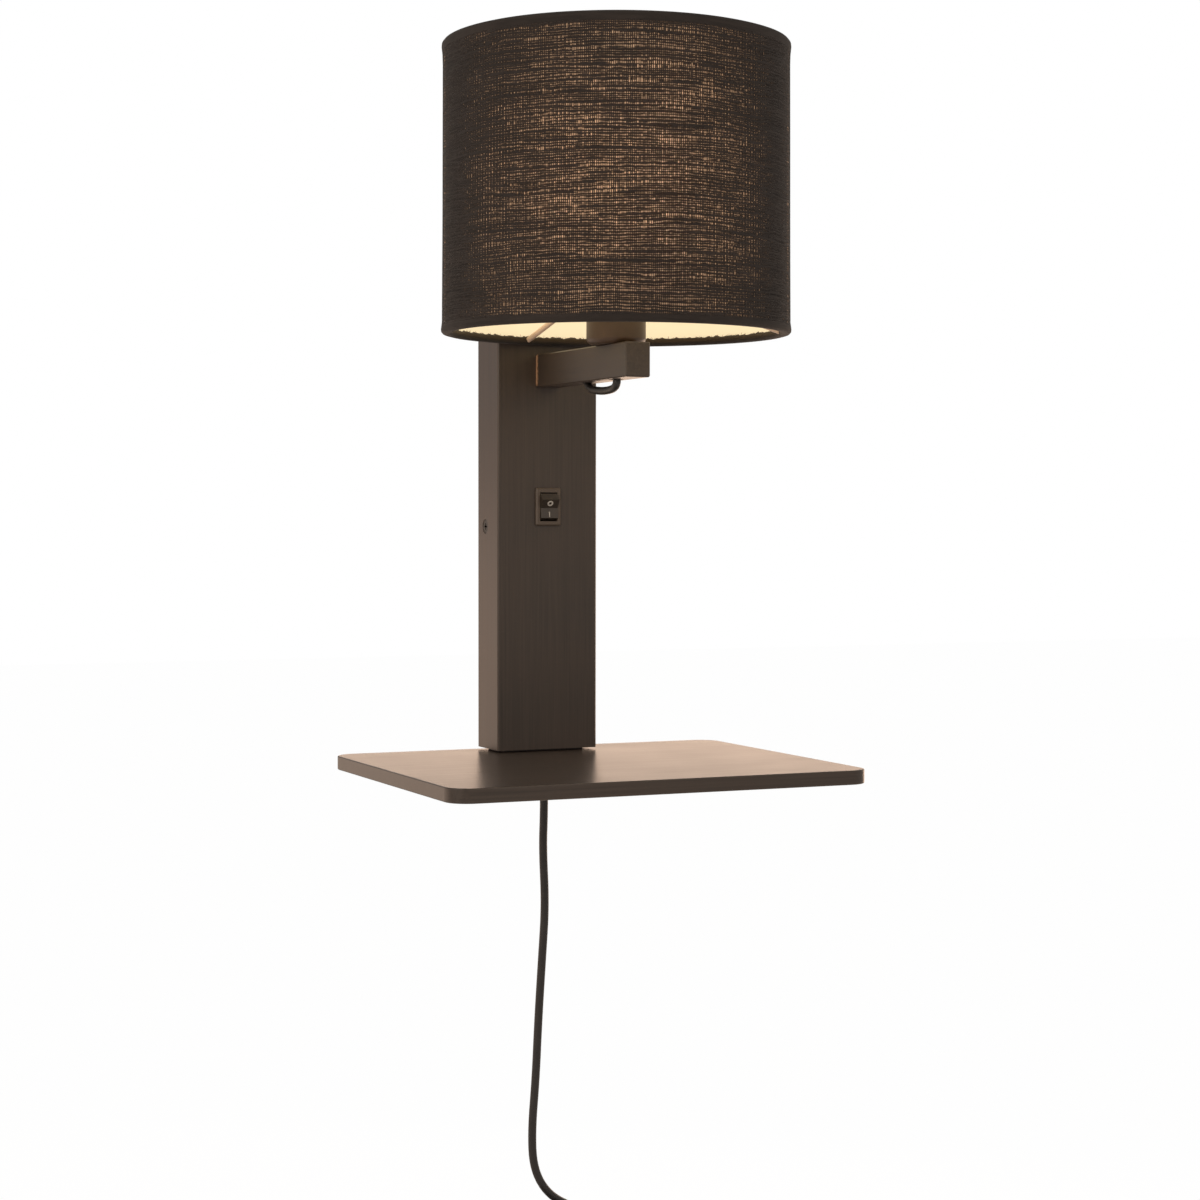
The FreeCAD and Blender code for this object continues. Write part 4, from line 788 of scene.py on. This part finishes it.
    def lines(self, settings):
        """The outer and the inner face as (radius, height), and the way along the cloth."""
        outline = self.profile(settings)
        inside = []
        for i, (r, z) in enumerate(outline):
            before = Vector(outline[max(i - 1, 0)])
            after = Vector(outline[min(i + 1, len(outline) - 1)])
            run = (after - before).normalized()
            inside.append((r - run.y * settings.cloth, z + run.x * settings.cloth))
        lengths = [0.0]
        for a, b in zip(outline, outline[1:]):
            lengths.append(lengths[-1] + (Vector(b) - Vector(a)).length)
        return outline, inside, lengths

    def ring(self, mesh, settings, r, z, frayed=None):
        """One ring of points. The wall is a little uneven, and widens towards its foot."""
        uneven, widening = 0.00018, 0.0006
        row = []
        for k in range(self.segments):
            angle = 2 * math.pi * k / self.segments + math.pi / 2
            wave = noise.noise(Vector((math.cos(angle) * 2.2, math.sin(angle) * 2.2, z * 9)))
            lip = 1 - min((settings.radius - r) / HEM_DEPTH, 1)
            wide = r + wave * uneven + widening * lip * (1 - z / SHADE_HEIGHT)
            rise = 0.0
            if frayed is not None:
                rise = frayed(k, angle)
                wide += abs(rise) * 0.25
            row.append(mesh.verts.new((wide * math.cos(angle), AXIS.y + wide * math.sin(angle),
                                       SHADE_LOW + z + rise)))
        return row

    def walls(self, mesh, settings, rings, lengths, flip):
        """Faces between rings, with the way around and along the cloth as their UV map."""
        cloth = mesh.loops.layers.uv.active or mesh.loops.layers.uv.new("cloth")
        part = 2 * math.pi * settings.radius / self.segments
        for low, high, start, end in zip(rings, rings[1:], lengths, lengths[1:]):
            for k in range(self.segments):
                after = (k + 1) % self.segments
                corners = [low[k], low[after], high[after], high[k]]
                marks = [(part * k, start), (part * (k + 1), start), (part * (k + 1), end),
                         (part * k, end)]
                if flip:
                    corners.reverse()
                    marks.reverse()
                made = mesh.faces.new(corners)
                for loop, mark in zip(made.loops, marks):
                    loop[cloth].uv = mark

    def core(self, settings):
        """The middle of the yarns, halfway between the cloth's two faces."""
        outline, inside, lengths = self.lines(settings)
        wall = range(self.hem_rings, len(outline) - self.hem_rings)
        mesh = bmesh.new()
        rings = [self.ring(mesh, settings, *((Vector(outline[i]) + Vector(inside[i])) / 2))
                 for i in wall]
        self.walls(mesh, settings, rings, [lengths[i] for i in wall], False)
        return as_mesh("shade_yarn_core", mesh)

    def drum(self, settings):
        """The cloth as a closed shell, with both its edges frayed."""
        outline, inside, lengths = self.lines(settings)
        mesh = bmesh.new()
        dice = random.Random(11)
        ragged, scalloped = 0.00022, 0.0007
        rags = [dice.gauss(0, ragged) for _ in range(self.segments)]
        last = len(outline) - 1

        def edge(step):
            """How far the cloth's edge stands out at each point of a ring near it."""
            ends = min(step, last - step)
            if ends > 1:
                return None
            sign, level = (1, 1.0) if step < 2 else (-1, 5.0)
            share = sign * (1.0 if ends == 0 else 0.35)
            return lambda k, angle: share * (rags[k] + scalloped * noise.noise(
                Vector((math.cos(angle) * 30, math.sin(angle) * 30, level))))

        faces = []
        for flip, line in enumerate((outline, inside)):
            rings = [self.ring(mesh, settings, r, z, edge(step))
                     for step, (r, z) in enumerate(line)]
            self.walls(mesh, settings, rings, lengths, bool(flip))
            faces.append(rings)
        for step in (0, last):
            rows = [rings[step] for rings in faces]
            self.walls(mesh, settings, rows, [lengths[step]] * 2, step == 0)
        bmesh.ops.recalc_face_normals(mesh, faces=mesh.faces)
        return as_mesh("shade_linen", mesh)


class LAMP_OT_shade_frame(bpy.types.Operator):
    """Finish the lining, the rings and the fitter"""
    bl_idname = "wall_lamp.shade_frame"
    bl_label = "Lining and fitter"

    def execute(self, context):
        settings = context.scene.wall_lamp_shade
        dress(lit_lining("lining_film", settings), "shade_lining")
        dress(lacquered_metal("cream_enamel", rgb(0.78, 0.58, 0.44), 0.4),
              "shade_fitter", "shade_top_ring")
        return {"FINISHED"}


# --- The lamp holder and bulb ----------------------------------------------------------------

class LAMP_OT_holder(bpy.types.Operator):
    """Finish the cup, the lamp holder and the bulb"""
    bl_idname = "wall_lamp.holder"
    bl_label = "Holder and bulb"

    def execute(self, context):
        settings = context.scene.wall_lamp_body
        dress(lacquered_metal("cup_lacquer", settings.cup, 0.42), "socket_cup")
        dress(bare_metal("zinc_steel", rgb(0.55, 0.54, 0.5), 0.32),
              "threaded_nipple", "nipple_nut")
        dress(moulded_plastic("holder_bakelite", rgb(0.025, 0.022, 0.02), 0.38),
              "holder_body", "clamp_ring")
        dress(bare_metal("holder_brass", rgb(0.72, 0.52, 0.24), 0.28),
              "holder_contact", "holder_shell")
        dress(bare_metal("bulb_nickel", rgb(0.72, 0.7, 0.66), 0.22), "bulb_contact", "bulb_cap")
        dress(moulded_plastic("bulb_white", rgb(0.8, 0.79, 0.75), 0.35), "bulb_housing")
        dress(moulded_plastic("led_board_white", rgb(0.75, 0.74, 0.7), 0.5), "led_board")
        dress(opal_glow("opal_glow", rgb(1.0, 0.83, 0.56), settings.bulb_strength), "bulb_globe")
        return {"FINISHED"}


# --- The column, the arm, the shelf and what is in them --------------------------------------

class LAMP_OT_woodwork(bpy.types.Operator):
    """Finish the column, the arm and the shelf"""
    bl_idname = "wall_lamp.woodwork"
    bl_label = "Woodwork"

    def execute(self, context):
        wood = context.scene.wall_lamp_body.wood
        dress(stained_wood("column_wood", wood, "Z", 0.4, 0.3), "column_front")
        # The side boards take the same wood painted lighter and warmer: painted light on the
        # sides.
        dress(stained_wood("column_side_wood", tinted(wood, 1.2, 1.02, 0.92), "Z", 0.36, 1.9),
              "column_left", "column_right")
        for name in ("column_cap", "column_foot"):
            dress(stained_wood(name + "_wood", wood, "X", 0.4, 4.1), name)
        dress(stained_wood("shelf_wood", wood, "X", 0.3, 2.7), "shelf_board")
        dress(stained_wood("arm_wood", wood, "Y", 0.38, 6.3, pale_strip=True), "lamp_arm")
        dress(bare_metal("plain_screw", rgb(0.5, 0.49, 0.46), 0.35),
              "shelf_screws", "arm_screws", "block_screw", "clamp_screws")
        dress(lacquered_metal("dark_screw", rgb(0.03, 0.026, 0.022), 0.35, 0.6), "side_screws")
        dress(bare_metal("plate_steel", rgb(0.5, 0.5, 0.48), 0.42), "wall_plate")
        return {"FINISHED"}


class LAMP_OT_switch(bpy.types.Operator):
    """Finish the switch and put the two marks on its rocker"""
    bl_idname = "wall_lamp.switch"
    bl_label = "Switch"

    def execute(self, context):
        settings = context.scene.wall_lamp_body
        # The frame is the rocker's colour painted lighter: painted light on the frame.
        lit_bezel_colour = tinted(settings.switch, 2.3, 2.2, 2.1)
        dress(moulded_plastic("switch_frame", lit_bezel_colour, 0.4), "switch_housing")
        dress(moulded_plastic("rocker_plastic", settings.switch, 0.3), "switch_rocker")
        dress(bare_metal("contact_brass", rgb(0.7, 0.5, 0.24), 0.3),
              "switch_plunger", "switch_contact", "switch_terminals")
        paint = moulded_plastic("mark_paint", settings.marking, 0.5)
        marks = new_piece("rocker_marks", self.marks(), paint, "rocker")
        return {"FINISHED"}

    @staticmethod
    def marks():
        """A ring above and a bar below, printed on the rocker's two faces."""
        pivot, tilt = Vector((0, -0.0285, 0.011)), math.radians(12)
        # How far the rocker's faces stand out from its axis at the middle and at the ends, and
        # how far off the ends are, in millimetres.
        middle, end, reach = 3.4, 5.2, 5.2
        slope = math.atan2(end - middle, reach)
        corners = 40
        mesh = bmesh.new()

        def on_face(x, along, lift, upper):
            """A point on a face, by its distance from the rocker's middle."""
            sign = 1 if upper else -1
            z = sign * along * math.cos(slope)
            y = -middle / 1000 - along * math.sin(slope) - lift * math.cos(slope)
            z -= sign * lift * math.sin(slope)
            return pivot + Vector((x, y * math.cos(tilt) - z * math.sin(tilt),
                                   y * math.sin(tilt) + z * math.cos(tilt)))

        def slab(loops, upper):
            """A thin raised shape between an outer and an inner line of points."""
            rows = []
            for line, lift in loops:
                rows.append([mesh.verts.new(on_face(x, a, lift, upper)) for x, a in line])
            for first, second in zip(rows, rows[1:]):
                for i in range(len(first)):
                    j = (i + 1) % len(first)
                    mesh.faces.new((first[i], first[j], second[j], second[i]))
            return rows

        def circle(radius, centre):
            return [(radius * math.sin(2 * math.pi * i / corners),
                     centre + radius * math.cos(2 * math.pi * i / corners))
                    for i in range(corners)]

        low, high = 0.00001, 0.00012
        outer, inner = circle(0.0017, 0.003), circle(0.0008, 0.003)
        rows = slab([(outer, low), (outer, high), (inner, high), (inner, low)], True)
        for i in range(corners):
            j = (i + 1) % corners
            mesh.faces.new((rows[-1][i], rows[-1][j], rows[0][j], rows[0][i]))
        bar = [(-0.00027, 0.002), (0.00027, 0.002), (0.00027, 0.005), (-0.00027, 0.005)]
        rows = slab([(bar, low), (bar, high)], False)
        mesh.faces.new(rows[1])
        mesh.faces.new(list(reversed(rows[0])))
        bmesh.ops.recalc_face_normals(mesh, faces=mesh.faces)
        return as_mesh("rocker_marks", mesh)


class LAMP_OT_wiring(bpy.types.Operator):
    """Finish the terminal block, the cord clamp and the cores"""
    bl_idname = "wall_lamp.wiring"
    bl_label = "Wiring"

    def execute(self, context):
        dress(moulded_plastic("terminal_plastic", rgb(0.62, 0.61, 0.57), 0.45),
              "terminal_block", "cord_clamp")
        dress(bare_metal("terminal_brass", rgb(0.7, 0.52, 0.26), 0.3), "terminal_screws")
        dress(cable_sheath("brown_core", rgb(0.11, 0.04, 0.018), 0.4),
              "core_live", "core_switched")
        dress(cable_sheath("blue_core", rgb(0.02, 0.07, 0.28), 0.4), "core_neutral")
        return {"FINISHED"}


# --- The panel and the add-on's frame --------------------------------------------------------

OPERATORS = (LAMP_OT_stage, LAMP_OT_lead, LAMP_OT_lamp_wire, LAMP_OT_linen, LAMP_OT_shade_frame,
             LAMP_OT_holder, LAMP_OT_woodwork, LAMP_OT_switch, LAMP_OT_wiring)


class LAMP_PT_panel(bpy.types.Panel):
    """The lamp's pieces and their settings"""
    bl_label = "Wall Lamp"
    bl_idname = "LAMP_PT_panel"
    bl_space_type = "VIEW_3D"
    bl_region_type = "UI"
    bl_category = "Wall Lamp"

    def draw(self, context):
        layout = self.layout
        for operator in OPERATORS:
            layout.operator(operator.bl_idname)
        for settings in (context.scene.wall_lamp_shade, context.scene.wall_lamp_body,
                         context.scene.wall_lamp_lead):
            box = layout.box()
            for name in settings.__annotations__:
                box.prop(settings, name)


CLASSES = (ShadeSettings, BodySettings, LeadSettings, *OPERATORS, LAMP_PT_panel)


def register():
    for item in CLASSES:
        bpy.utils.register_class(item)
    bpy.types.Scene.wall_lamp_shade = bpy.props.PointerProperty(type=ShadeSettings)
    bpy.types.Scene.wall_lamp_body = bpy.props.PointerProperty(type=BodySettings)
    bpy.types.Scene.wall_lamp_lead = bpy.props.PointerProperty(type=LeadSettings)


def unregister():
    del bpy.types.Scene.wall_lamp_lead
    del bpy.types.Scene.wall_lamp_body
    del bpy.types.Scene.wall_lamp_shade
    for item in reversed(CLASSES):
        bpy.utils.unregister_class(item)


def main():
    register()
    for operator in OPERATORS:
        group, name = operator.bl_idname.split(".")
        getattr(getattr(bpy.ops, group), name)()


if __name__ == "__main__":
    main()
